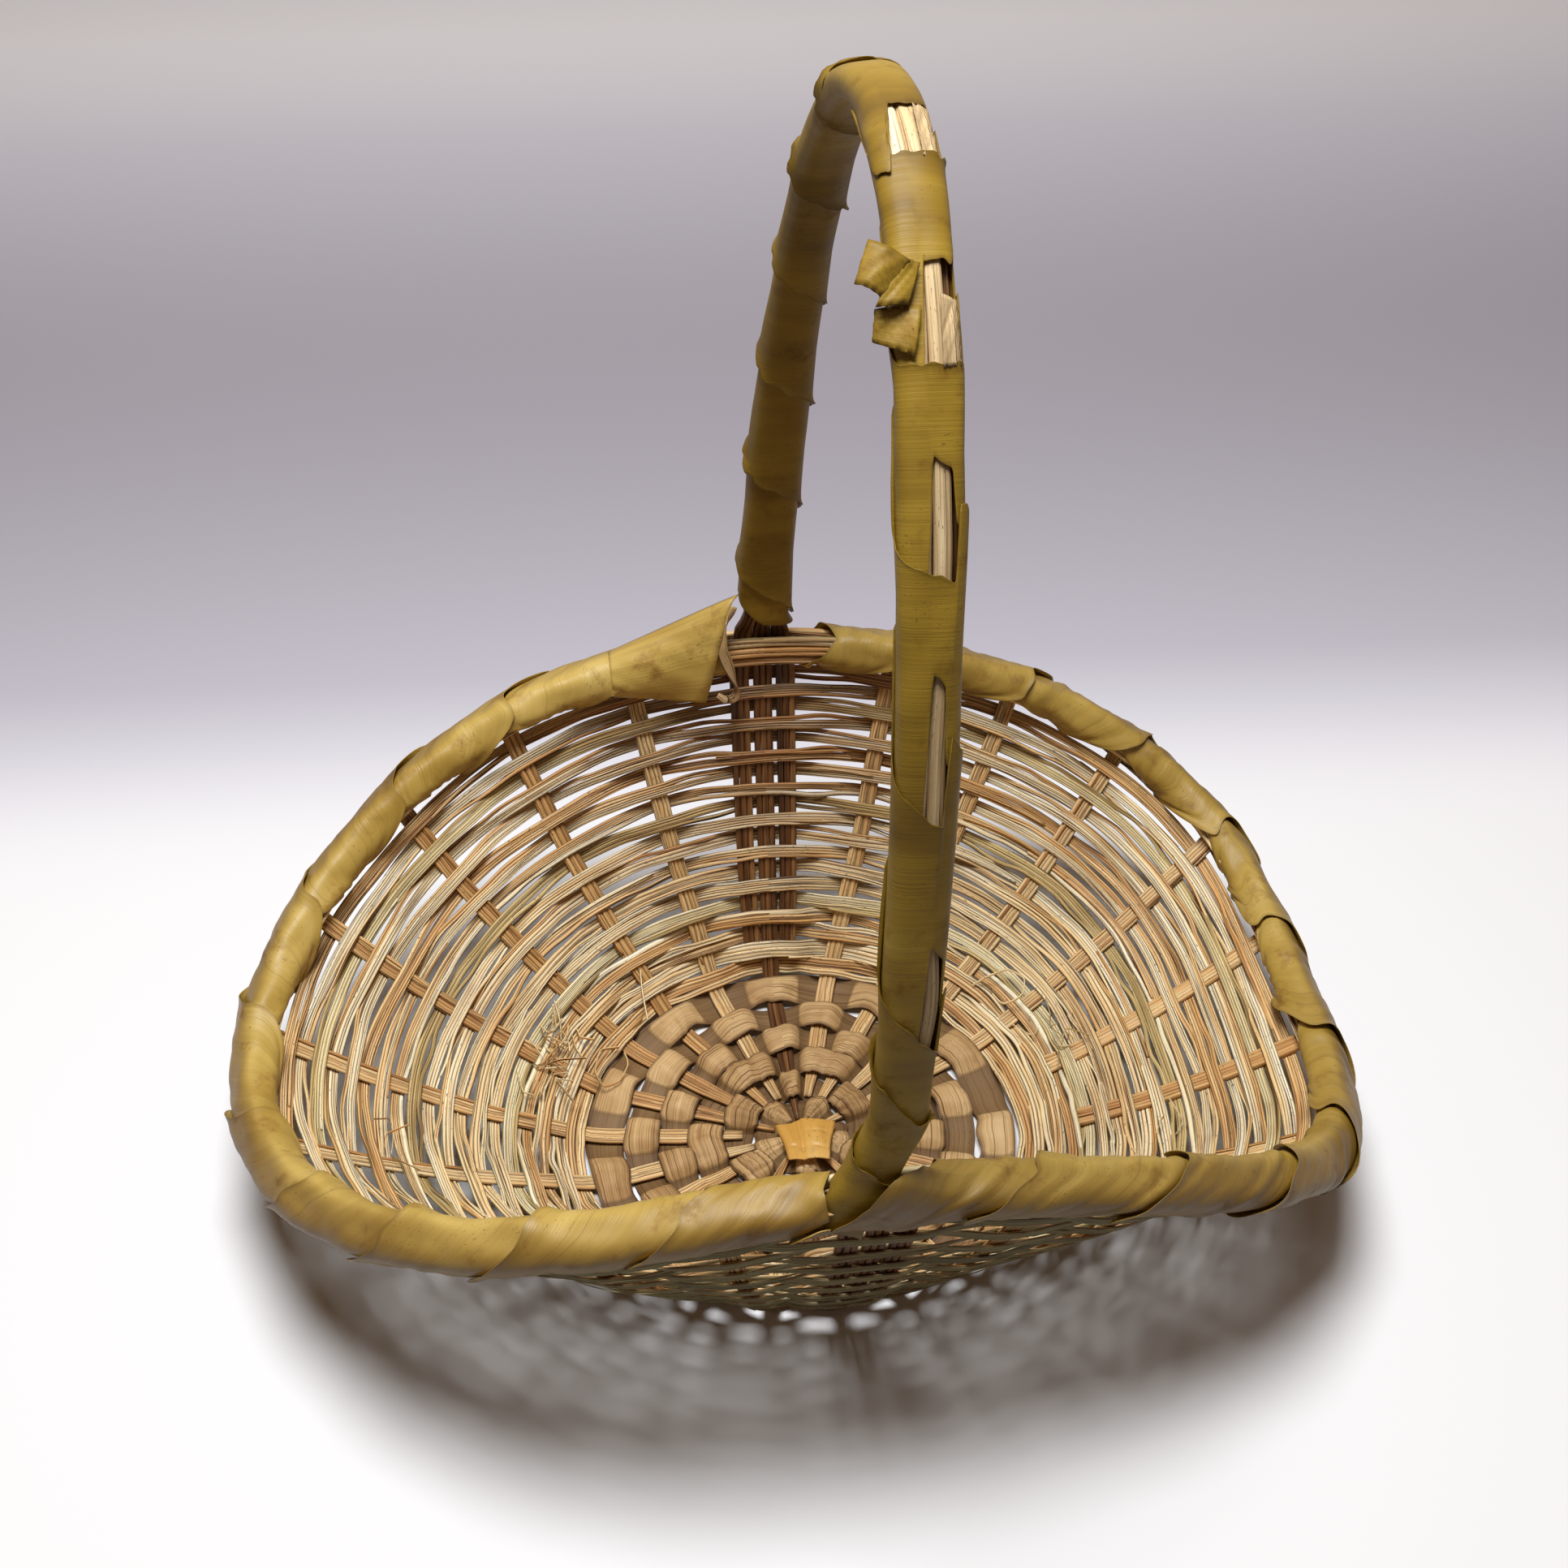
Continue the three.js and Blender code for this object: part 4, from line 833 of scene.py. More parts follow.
straw_material = splint_material("split_palm_straw", STRAW_COLOURS, line_and_furrow_shade_depth=0.95, stain=0.4,
                                 skin=SKIN_COLOURS)
green_straw_material = splint_material("split_palm_greenish", GREEN_STRAW_COLOURS, line_and_furrow_shade_depth=0.85,
                                       stain=0.35, skin=SKIN_COLOURS)
weaver_stations = np.arange(STATIONS * WEAVER_STEPS_PER_SPACE) / WEAVER_STEPS_PER_SPACE


def wall_half_width(station, height):
    """Half the width of what stands at a station: a stake, or the three strips of the handle."""
    strips = 1.5 * (HANDLE_STRIP_WIDTH_LOW + (HANDLE_STRIP_WIDTH_RIM - HANDLE_STRIP_WIDTH_LOW) * height)
    return np.where(is_handle(station), strips + strip_gap(height), STAKE_WIDTH / 2)


def strip_gap(height):
    """How far apart the handle's three strips stand at a height of the wall: wider between its foot and
    the rim."""
    opened = smoothstep(height, 0.05, 0.4) * (1 - smoothstep(height, 0.92, 1.0))
    return STRIP_GAP_BASE + STRIP_GAP_WALL * opened


def smooth_line(points, count):
    """Points set evenly along a softened line through a few points."""
    path = travelled(points)
    places = np.linspace(0, path[-1], count)
    rough = np.stack([np.interp(places, path, points[:, axis]) for axis in range(3)], -1)
    kernel = np.hanning(2 * (count // (2 * len(points))) + 3)[1:-1]
    reach = len(kernel) // 2
    padded = np.concatenate([np.repeat(rough[:1], reach, 0), rough, np.repeat(rough[-1:], reach, 0)])
    return np.stack([np.convolve(padded[:, axis], kernel / kernel.sum(), "valid") for axis in range(3)], -1)


def wall_fibre(entries, width, tone):
    """A loose fibre through points given as station, millimetres up the wall and millimetres inwards."""
    station, distance, inwards = np.array(entries, float).T
    point, _, _, out = wall_frame(station, distance / 1000 / wall_curve(station, 0.0)[2])
    path = smooth_line(point - out * (inwards / 1000)[:, None], 8 * len(entries))
    return splint(path, (0.3, 0.2, 0.9), width, 0.4 * width, tone=tone, start=tone)


def fibre_tuft(seed, count, station, distance):
    """Broken fibres that stick out of the wall round a place, each bent once."""
    draw = np.random.default_rng(seed)
    fibres = []
    for _ in range(count):
        root = [station + draw.uniform(-0.35, 0.35), distance + draw.uniform(-8, 8), draw.uniform(1.5, 3)]
        first = np.array(root)
        bend = first + [draw.uniform(-0.2, 0.2), draw.uniform(-6, 6), draw.uniform(1.5, 5)]
        last = bend + [draw.uniform(-0.35, 0.35), draw.uniform(-10, 10), draw.uniform(0, 5)]
        fibres.append(wall_fibre([first, bend, last], draw.uniform(0.0004, 0.0011), draw.uniform()))
    return fibres


def weaver_parts(row, seed, full_width):
    """Strips of one ring. The ring runs at a distance up the wall, on one side of each station and on
    the other side of the next. Its two strips part a little between the stakes, and its loose strands
    lie against their faces."""
    draw = np.random.default_rng(seed)
    length = wall_curve(weaver_stations, 0.0)[2]
    heights = row_distance(row, length) / length
    whole_lengths = wall_curve(whole_stations, 0.0)[2]
    whole_heights = row_distance(row, whole_lengths) / whole_lengths
    spots = wall_curve(whole_stations, whole_heights)[0]
    ahead = np.linalg.norm(np.roll(spots, -1, 0) - spots, axis=1)
    half = wall_half_width(whole_stations, whole_heights)
    sides = np.where((whole_stations + row) % 2 == 0, 1.0, -1.0)
    starts = whole_stations - half / np.roll(ahead, 1)
    ends = whole_stations + half / ahead
    side = woven_side(weaver_stations, starts, ends, sides, sharpness=0.7)
    at_handle = np.where(is_handle(whole_stations), 1.0, 0.0)
    thick = np.interp(weaver_stations, whole_stations, at_handle, period=STATIONS)
    carrier = STAKE_THICKNESS + (HANDLE_STRIP_THICKNESS - STAKE_THICKNESS) * np.clip(3 * thick - 2, 0, 1)
    clear = (carrier + WEAVER_THICKNESS) / 2 + WEAVER_CLEARANCE
    place = weaver_stations / STATIONS
    between = np.sin(np.pi * np.mod(weaver_stations, 1)) ** 2
    wander = WEAVER_DRIFT * wave(place, seed + 1, 3, 14)
    bulge = WEAVER_BULGE * wave(place, seed + 2, 8, 30)
    point, _, along, out = wall_frame(weaver_stations, heights)
    share = draw.uniform(0.6, 0.84)
    flip = draw.choice([-1, 1])
    parting = flip * (PARTING + PARTING_SPREAD * np.clip(wave(place, seed + 3, 6, 26), -0.3, 1))
    lanes = [(flip * (share - 1) / 2, share, 0 * parting, int(draw.choice([3, 4, 4]))),
             (flip * share / 2, 1.12 - share, parting, int(draw.choice([1, 2])))]
    parts = []
    for lane, (offset, portion, apart, ridges) in enumerate(lanes):
        apart = apart + LANE_DRIFT * wave(place, seed + 10 + lane, 10, 30)
        upwards = full_width * offset + wander + between * apart
        outwards = side * clear + between * (bulge + LANE_BULGE * wave(place, seed + 20 + lane, 10, 40))
        path = point + along * upwards[:, None] + out * outwards[:, None]
        tilt = (0.22 * wave(place, seed + 30, 4, 22) + 0.15 * wave(place, seed + 40 + lane, 10, 30)) * between
        across = along * np.cos(tilt)[:, None] + out * np.sin(tilt)[:, None]
        width = full_width * portion * (1.0 + 0.07 * wave(place, seed + 50 + lane, 6, 26))
        thickness = WEAVER_THICKNESS * draw.uniform(0.85, 1.0)
        parts.append(ribbed(path, across, width, thickness, ridges, seed + 60 + lane, True,
                            draw.uniform(0.05, 1.05), draw.uniform(), WEAVER_FURROW))
    for _ in range(LOOSE_STRANDS):
        first = draw.integers(0, len(weaver_stations))
        count = int(WEAVER_STEPS_PER_SPACE * draw.uniform(*LOOSE_STRAND_LENGTHS))
        steps = (first + np.arange(count)) % len(weaver_stations)
        fade = np.sin(np.pi * np.linspace(0, 1, count))
        upwards = full_width * draw.uniform(-0.55, 0.55) + wander[steps]
        upwards = upwards + LOOSE_STRAND_DRIFT * draw.uniform(-1, 1) * fade
        off = WEAVER_THICKNESS / 2 + LOOSE_STRAND_STANDOFF + LOOSE_STRAND_BULGE * fade * between[steps]
        outwards = (side * clear)[steps] + draw.choice([-1, 1]) * off
        path = point[steps] + along[steps] * upwards[:, None] + out[steps] * outwards[:, None]
        parts.append(splint(path, along[steps], draw.uniform(*LOOSE_STRAND_WIDTHS), LOOSE_STRAND_THICKNESS,
                            tone=draw.uniform(), start=draw.uniform()))
    return parts


WALL_CURL = [(18.75, 22, 3), (18.65, 28, 6), (18.5, 36, 8), (18.2, 38, 9), (18.0, 31, 9), (18.1, 23, 8),
             (18.4, 24, 7)]
LOW_CURL = [(3.2, 6, 4), (3.5, 12, 6), (4.0, 9, 8), (4.25, 3, 9), (4.0, -2, 9), (3.5, -1, 8), (3.3, 4, 7)]
HANGING_FIBRE = [(2.0, 26, 3), (2.2, 18, 5), (2.5, 6, 6)]
LOOSE_FIBRES = {
    0: [wall_fibre(LOW_CURL, 0.0011, 0.7)],
    2: fibre_tuft(901, 16, 3.6, 30) + [wall_fibre(HANGING_FIBRE, 0.0009, 0.9)],
    3: fibre_tuft(902, 12, 4.4, 26) + [wall_fibre(WALL_CURL, 0.0009, 0.6)],
    4: fibre_tuft(903, 7, 17.4, 30),
    9: fibre_tuft(904, 4, 15.2, 60),
    13: fibre_tuft(905, 4, 5.6, 80),
}


def row_distance(row, length):
    """How far up a wall of a given length a ring runs: evenly spaced, or beside the rim's middle."""
    if row < SPACED_ROWS:
        share = row / (SPACED_ROWS - 1)
        return FIRST_ROW_DISTANCE + (length - LAST_ROW_BELOW_RIM - FIRST_ROW_DISTANCE) * share
    return length + TOP_ROW_OFFSET * (1 if row == WALL_ROWS - 1 else -1)


for row in range(WALL_ROWS):
    uneven = np.random.default_rng(200 + row).uniform(0.95, 1.06)
    full_width = WEAVER_WIDTH * uneven * (1 + FIRST_ROWS_WIDER * np.exp(-row / FIRST_ROWS_FADE))
    full_width = full_width if row < SPACED_ROWS else TOP_ROW_WIDTH
    parts = weaver_parts(row, 10000 + 100 * row, full_width) + LOOSE_FIBRES.get(row, [])
    node = f"wall_weaver_{row + 1:02d}"
    green = row in GREEN_ROWS
    weaver = make_piece(node + "_splints", parts, green_straw_material if green else straw_material)
    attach(weaver, "root")
    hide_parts(node)

# Rim reeds and hoop: three reeds on top of each other inside the wall and one flat hoop outside it,
# all of them splints. They clamp the wall's top and fill the binding. The dry end of the top reed hangs
# down, twisted, beside the back foot.
DRY_END = [(0.20, 24, -12), (0.285, 15, -12.8), (0.315, 6.4, -13.4), (0.28, -0.8, -13.4), (0.224, -10, -13),
           (0.222, -14.7, -12.6), (0.30, -17, -12), (0.38, -13.5, -11)]
DRY_END_STEPS = 48
DRY_END_TURNS = 1.1
DRY_END_WIDTH = 0.0046
DRY_END_THICKNESS = 0.0005
REED_START = 0.0039
REED_PITCH = 0.0039
REED_HEIGHT = 0.0036
REED_THICKNESS = 0.0028
MIDDLE_REED_THICKNESS = 0.0038
REED_DRIFT = 0.0001
REED_CENTRE = 0.0006
HOOP_HEIGHT = 0.0096
HOOP_THICKNESS = 0.003
RIM_STEPS = 330
REEDS = {
    "rim_reed_low": (-1, REED_CENTRE - REED_PITCH, REED_HEIGHT, REED_THICKNESS, 2, straw_material,
                     "straw"),
    "rim_reed_middle": (-1, REED_CENTRE, REED_HEIGHT, MIDDLE_REED_THICKNESS, 2, stake_material,
                        "stake_tan"),
    "rim_reed_top": (-1, REED_CENTRE + REED_PITCH, REED_HEIGHT, REED_THICKNESS, 2, green_straw_material,
                     "straw_green"),
    "rim_outer_hoop": (1, REED_CENTRE, HOOP_HEIGHT, HOOP_THICKNESS, 5, stake_material, "stake_tan"),
}


def rim_places(entries):
    """Points given as station, millimetres up from the rim's middle and millimetres outwards."""
    station, up, outwards = np.array(entries, float).T
    point, _, along, out = wall_frame(station, 1.0)
    return point + along * (up / 1000)[:, None] + out * (outwards / 1000)[:, None]


def dry_end():
    """A thin ribbon along a smooth line whose width turns as it goes."""
    path = smooth_line(rim_places(DRY_END), DRY_END_STEPS)
    turning = np.linspace(0, 2 * np.pi * DRY_END_TURNS, DRY_END_STEPS)[:, None]
    across = np.array([1.0, 0, 0]) * np.cos(turning) + np.array([0, 1.0, 0.3]) * np.sin(turning)
    width = DRY_END_WIDTH * np.sin(np.pi * np.linspace(0.12, 0.9, DRY_END_STEPS)) ** 0.6
    return splint(path, across, width, DRY_END_THICKNESS, tone=0.8)


rim_steps = np.arange(RIM_STEPS) * STATIONS / RIM_STEPS
point, _, along, out = wall_frame(rim_steps, 1.0)
for number, (node, (side, up, height, thickness, splints, material, slot)) in enumerate(REEDS.items()):
    draw = np.random.default_rng(300 + number)
    parts = []
    for lane in range(splints):
        upwards = up + height * ((lane + 0.5) / splints - 0.5)
        upwards = upwards + REED_DRIFT * wave(rim_steps / STATIONS, 400 + lane, 5, 30)
        outwards = side * (REED_START + thickness / 2)
        outwards = outwards + SPLINT_LIFT * wave(rim_steps / STATIONS, 440 + lane, 5, 30)
        path = point + along * upwards[:, None] + out * outwards[:, None]
        parts.append(splint(path, along, height / splints * 0.97, thickness * 0.94, True, draw.uniform()))
    if node == "rim_reed_top":
        parts.append(dry_end())
    reed = make_piece(node + "_splints", parts, material)
    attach(reed, "root")
    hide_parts(node)

# Handle strips: three dark ribs side by side, woven into the front and back wall like one wide stake.
# Above the rim they gather into the grip. The middle one runs over the base from wall to wall.
HANDLE_HEIGHT = 0.433
HANDLE_LEAN = 0.016
HANDLE_START = 0.009
HANDLE_STRIP_WIDTH_GRIP = 0.0049
HANDLE_STRIP_DEPTH_GRIP = 0.004
SIDE_STRIP_START = 0.016
GATHER_START = 0.003
GATHER_LENGTH = 0.018
FRONT_FOOT_LEAN = 0.008
CORE_STICK_WIDTH = 0.005
CORE_STICK_DEPTH = 0.004
CLEARANCE = 0.0003
STRIP_STEP = 0.004
STRIP_SPLINTS = 3
STRIP_GRAIN_LENGTH = 0.4
ARCH_NUDGE = 0.001
BROWN_COLOURS = [(34, 20, 10), (70, 42, 20), (112, 72, 38), (156, 112, 66)]

back_point, _, back_up, _ = wall_frame(0.0, 1.0)
front_point, _, front_up, _ = wall_frame(float(HALF_TURN), 1.0)
back_foot = back_point + HANDLE_START * back_up
front_foot = front_point + HANDLE_START * front_up


def arch_point(fraction):
    """Half an ellipse from the back foot to the front foot, leaning sideways as it rises."""
    angle = np.pi * np.asarray(fraction)[..., None]
    point = back_foot + (front_foot - back_foot) * (1 - np.cos(angle)) / 2
    rise = np.sin(angle)[..., 0]
    point[..., 2] += (HANDLE_HEIGHT - point[..., 2]) * rise
    point[..., 0] += HANDLE_LEAN * rise
    return point


arch_fractions = np.linspace(0, 1, 1201)
arch_travelled = travelled(arch_point(arch_fractions))
arch_length = arch_travelled[-1]


def arch_frame(share):
    """Point of the arch at a share of its length, with its directions across, along and outwards. It
    leans to the left at the front foot, and goes straight on beyond its ends."""
    fraction = np.interp(share, arch_travelled / arch_length, arch_fractions)
    ahead = arch_point(np.clip(fraction + ARCH_NUDGE, 0, 1))
    along = unit(ahead - arch_point(np.clip(fraction - ARCH_NUDGE, 0, 1)))
    across = square_to(np.broadcast_to(np.array([-1.0, 0.0, 0.0]), along.shape), along)
    beyond = (share - np.clip(share, 0, 1)) * arch_length
    lean = FRONT_FOOT_LEAN * smoothstep(share, 0.95, 1.005)
    point = arch_point(fraction) + along * beyond[..., None] + across * lean[..., None]
    return point, across, along, np.cross(across, along)


def gathered(share):
    """How far the strips have gathered: 0 flat at the rim, 1 in the grip."""
    past_rim = np.clip(np.minimum(share, 1 - share), 0, 1) * arch_length + HANDLE_START
    return smoothstep(past_rim, GATHER_START, GATHER_LENGTH)


def arch_strip(share):
    """Width, thickness and outward place of one strip along the arch."""
    grip = gathered(share)
    width = HANDLE_STRIP_WIDTH_RIM + (HANDLE_STRIP_WIDTH_GRIP - HANDLE_STRIP_WIDTH_RIM) * grip
    thickness = HANDLE_STRIP_THICKNESS + (HANDLE_STRIP_DEPTH_GRIP - HANDLE_STRIP_THICKNESS) * grip
    return width, thickness, -grip * (CORE_STICK_DEPTH + CLEARANCE) / 2


def handle_wall(station, start, lane, mirror):
    """One strip up a wall: its points, widthwise directions, widths and thicknesses."""
    length = wall_curve(station, 0.0)[2]
    points, across, distance = stake_path(station, start, length, STRIP_STEP)
    height = np.clip(distance / length, 0, 1)
    full = HANDLE_STRIP_WIDTH_LOW + (HANDLE_STRIP_WIDTH_RIM - HANDLE_STRIP_WIDTH_LOW) * height
    points = points + across * (lane * mirror * (full + strip_gap(height)))[:, None]
    thickness = np.full(len(distance), HANDLE_STRIP_THICKNESS)
    return points, across * mirror, stake_width(distance, full), thickness


brown_material = splint_material("palm_rib_brown", BROWN_COLOURS, roughness=0.45, line_and_furrow_shade_depth=0.7, stain=0.5)
arch_shares = np.linspace(0, 1, int(arch_length / STRIP_STEP))
for lane, name in ((-1, "right"), (0, "middle"), (1, "left")):
    draw = np.random.default_rng(500 + lane)
    start = SIDE_STRIP_START if lane else STAKE_INNER_RADIUS - BASE_RADIUS
    back = handle_wall(0.0, start, lane, 1)
    front = [values[::-1] for values in handle_wall(float(HALF_TURN), start, lane, -1)]
    width, thickness, out_place = arch_strip(arch_shares)
    point, across, _, out = arch_frame(arch_shares)
    over = point + across * (lane * (width + CLEARANCE))[:, None] + out * out_place[:, None]
    stretches = [back, (over, across, width, thickness), front]
    points, across, width, thickness = (np.concatenate(values) for values in zip(*stretches))
    normal = outward(points, across)
    grain = travelled(points) / STRIP_GRAIN_LENGTH
    parts = []
    for part in range(STRIP_SPLINTS):
        place = (part + 0.5) / STRIP_SPLINTS - 0.5
        shift = width * place + SPLINT_LIFT * wave(grain, 510 + 10 * lane + part, 1, 12)
        lift = SPLINT_LIFT * wave(grain, 560 + 10 * lane + part, 1, 14)
        path = points + across * shift[:, None] + normal * lift[:, None]
        slim = width / STRIP_SPLINTS * 0.97
        parts.append(splint(path, across, slim, thickness * 0.95, tone=draw.uniform()))
    strip = make_piece(f"handle_strip_{name}_splints", parts, brown_material)
    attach(strip, "root")
    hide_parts(f"handle_strip_{name}")

# Core sticks: two pale split sticks on the outside of the strips, which pad the grip. They show where
# the binding has gaps. Near the front foot they bend to the right. Just past the top, two flat slivers
# have come away from the right one.
SCRAP_THICKNESS = 0.0006
SCRAP_WIDTH = 0.006
SCRAP_RIPPLE = 0.0005
SCRAP_ROWS = 16
SCRAP_COLUMNS = 9
STICK_BEND = 0.0022
STICK_BEND_SHARE = 0.885
STICK_BEND_REACH = 0.035
STICK_WOBBLE = 0.00015
PALE_COLOURS = [(150, 116, 74), (214, 186, 138), (236, 214, 170), (250, 238, 210)]


def handle_scrap(corners, swell, seed):
    """A torn bit of leaf between four corners, each given as share of the arch, millimetres across and
    millimetres outwards. It is swollen in the middle and a little uneven."""
    share, side, rise = np.array(corners, float).T
    point, across, _, out = arch_frame(share)
    spots = point + across * (side / 1000)[:, None] + out * (rise / 1000)[:, None]
    u = np.linspace(0, 1, SCRAP_ROWS)[:, None, None]
    v = np.linspace(0, 1, SCRAP_COLUMNS)[None, :, None]
    grid = (1 - u) * ((1 - v) * spots[0] + v * spots[1]) + u * ((1 - v) * spots[3] + v * spots[2])
    bulge = swell * np.sin(np.pi * u) + SCRAP_RIPPLE * wave((u + 0.7 * v)[..., 0], seed, 1, 4)[..., None]
    grid = grid + out.mean(0) * bulge
    return leaf_part(grid, SCRAP_WIDTH, v[0, :, 0], False, 0.1, thickness=SCRAP_THICKNESS)


FIRST_SLIVER = [(0.5925, -3.6, 6.9), (0.5945, -8.0, 4.6), (0.6180, -8.6, 4.6), (0.6190, -3.2, 6.9)]
SECOND_SLIVER = [(0.5125, -3.8, 6.5), (0.5120, -8.0, 4.4), (0.5380, -8.2, 4.4), (0.5390, -3.6, 6.5)]
SLIVERS = {"right": [handle_scrap(FIRST_SLIVER, 0.0004, 833), handle_scrap(SECOND_SLIVER, 0.0003, 834)]}
pale_material = splint_material("split_wood_pale", PALE_COLOURS, roughness=0.55, line_and_furrow_shade_depth=0.4, stain=0.25)
width, thickness, out_place = arch_strip(arch_shares)
point, across, _, out = arch_frame(arch_shares)
stick_out = out_place + (thickness + CORE_STICK_DEPTH) / 2 + CLEARANCE
bend = STICK_BEND * hump(arch_shares, STICK_BEND_SHARE, STICK_BEND_REACH)
for lane, name in ((-1, "right"), (1, "left")):
    side = lane * (CORE_STICK_WIDTH + CLEARANCE) / 2
    wobble = STICK_WOBBLE * wave(arch_shares, 600 + lane, 4, 20) - bend
    path = point + across * (side + wobble)[:, None] + out * stick_out[:, None]
    parts = [splint(path, across, CORE_STICK_WIDTH, CORE_STICK_DEPTH, tone=0.5 + 0.3 * lane)]
    stick = make_piece(f"handle_core_stick_{name}_wood", parts + SLIVERS.get(name, []), pale_material)
    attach(stick, "root")
    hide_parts(f"handle_core_stick_{name}")

# Rim bindings: two ribbons of palm leaf, one for each side of the handle, wound over the rim's reeds
# and out through the wall once in each space. Each turn lies over the edge of the turn before it. The
# left one begins in a wide flap inside the back foot; the right one begins across the front foot.
BUNDLE_HALF = 0.0094
BUNDLE_TOP = 0.0086
BUNDLE_BOTTOM = -0.0073
BUNDLE_SQUARENESS = 2.7
RIBBON_THICKNESS = 0.0006
RIBBON_LAP = 0.07
PASS_PLACE = 0.66
TOP_ADVANCE = 0.25
PASS_WIDTH_SHARE = 0.34
RIM_RIBBON_COLUMNS = 31
RIM_RIBBON_STEPS_PER_TURN = 64
LEAST_RIBBON = 0.1
RIM_FOLDS = 4.5
RIM_FOLD_DEPTH = 0.0011
RIM_LAP_LIFT = 0.0009
RIM_LAP_SINK = 0.0004
RIM_EDGE_LIFT = 0.0009
RIM_SOFTNESS = 0.0005
RIM_UNEVENNESS = 0.05
RIM_PLEAT = 0.0005
RIM_CUT_LIFT = 0.0022
RIM_CUT_SHARE = 0.46
RIM_CUT_REACH = 0.07
PASS_SINK = 0.0012
FOOT_LIFT = 0.0016
FOOT_RISE = 0.010
FOOT_REACH = 0.24
FLAP_WIDTH = 0.03
FLAP_ROWS = 34
FLAP_COLUMNS = 25
FLAP_BEND = 0.5
FLAP_SWELL = 0.0016
FLAP_RIPPLE = 0.0004
FLAP_CURL = 0.0012
FLAP_CUT_EDGE = [(0.16, 27, -6), (0.22, 26, -10), (0.28, 17, -11.6), (0.34, 5.5, -12), (0.40, -6, -11.6),
                 (0.47, -17.6, -9.6)]
FLAP_TURN_EDGE = [(1.12, 9.2, 1), (1.12, 9.4, -5), (1.13, 6, -9.4), (1.14, 0, -10.6), (1.15, -5.4, -9.6),
                  (1.15, -7.9, -5)]
LEFT_START = [0.29] * 9
LEFT_END = [10.68, 10.65, 10.64, 10.63, 10.62, 10.68, 10.7, 10.7, 10.7]
RIGHT_START = [11.3, 10.58, 10.66, 10.90, 11.14, 11.3, 11.3, 11.3, 11.3]
RIGHT_END = [21.72, 21.66, 21.6, 21.56, 21.5, 21.47, 21.56, 21.7, 21.72]
# The right ribbon's leaf is darker than the left's: partly its own colour, partly painted shade for the
# darker right side of the rim.
PALM_COLOURS_RIGHT_SHADED = {
    "left": [(122, 88, 26), (174, 142, 62), (202, 172, 90), (218, 194, 124)],
    "right": [(104, 74, 20), (152, 122, 48), (180, 150, 70), (202, 176, 104)],
}


def closed_outline(half_width, low, high, squareness):
    """Points of a superellipse from its bottom, up its outer side and over the top, back to the bottom,
    with the share of the way round at each."""
    angle = np.linspace(-np.pi / 2, 3 * np.pi / 2, 721)
    x = half_width * signed_power(np.cos(angle), 2 / squareness)
    y = (low + high) / 2 + (high - low) / 2 * signed_power(np.sin(angle), 2 / squareness)
    shares = travelled(np.stack([x, y], -1))
    return x, y, shares / shares[-1]


bundle_x, bundle_y, bundle_shares = closed_outline(BUNDLE_HALF, BUNDLE_BOTTOM, BUNDLE_TOP, BUNDLE_SQUARENESS)
ribbon_columns = edge_spaced(RIM_RIBBON_COLUMNS)
palm_materials = {
    side: leaf_material(f"palm_leaf_khaki_{side}", colours, 0.42, (1500.0, 0.12), (420.0, 0.14), 0.7, 0.4,
                        painted_outer_shade=1.0)
    for side, colours in PALM_COLOURS_RIGHT_SHADED.items()
}


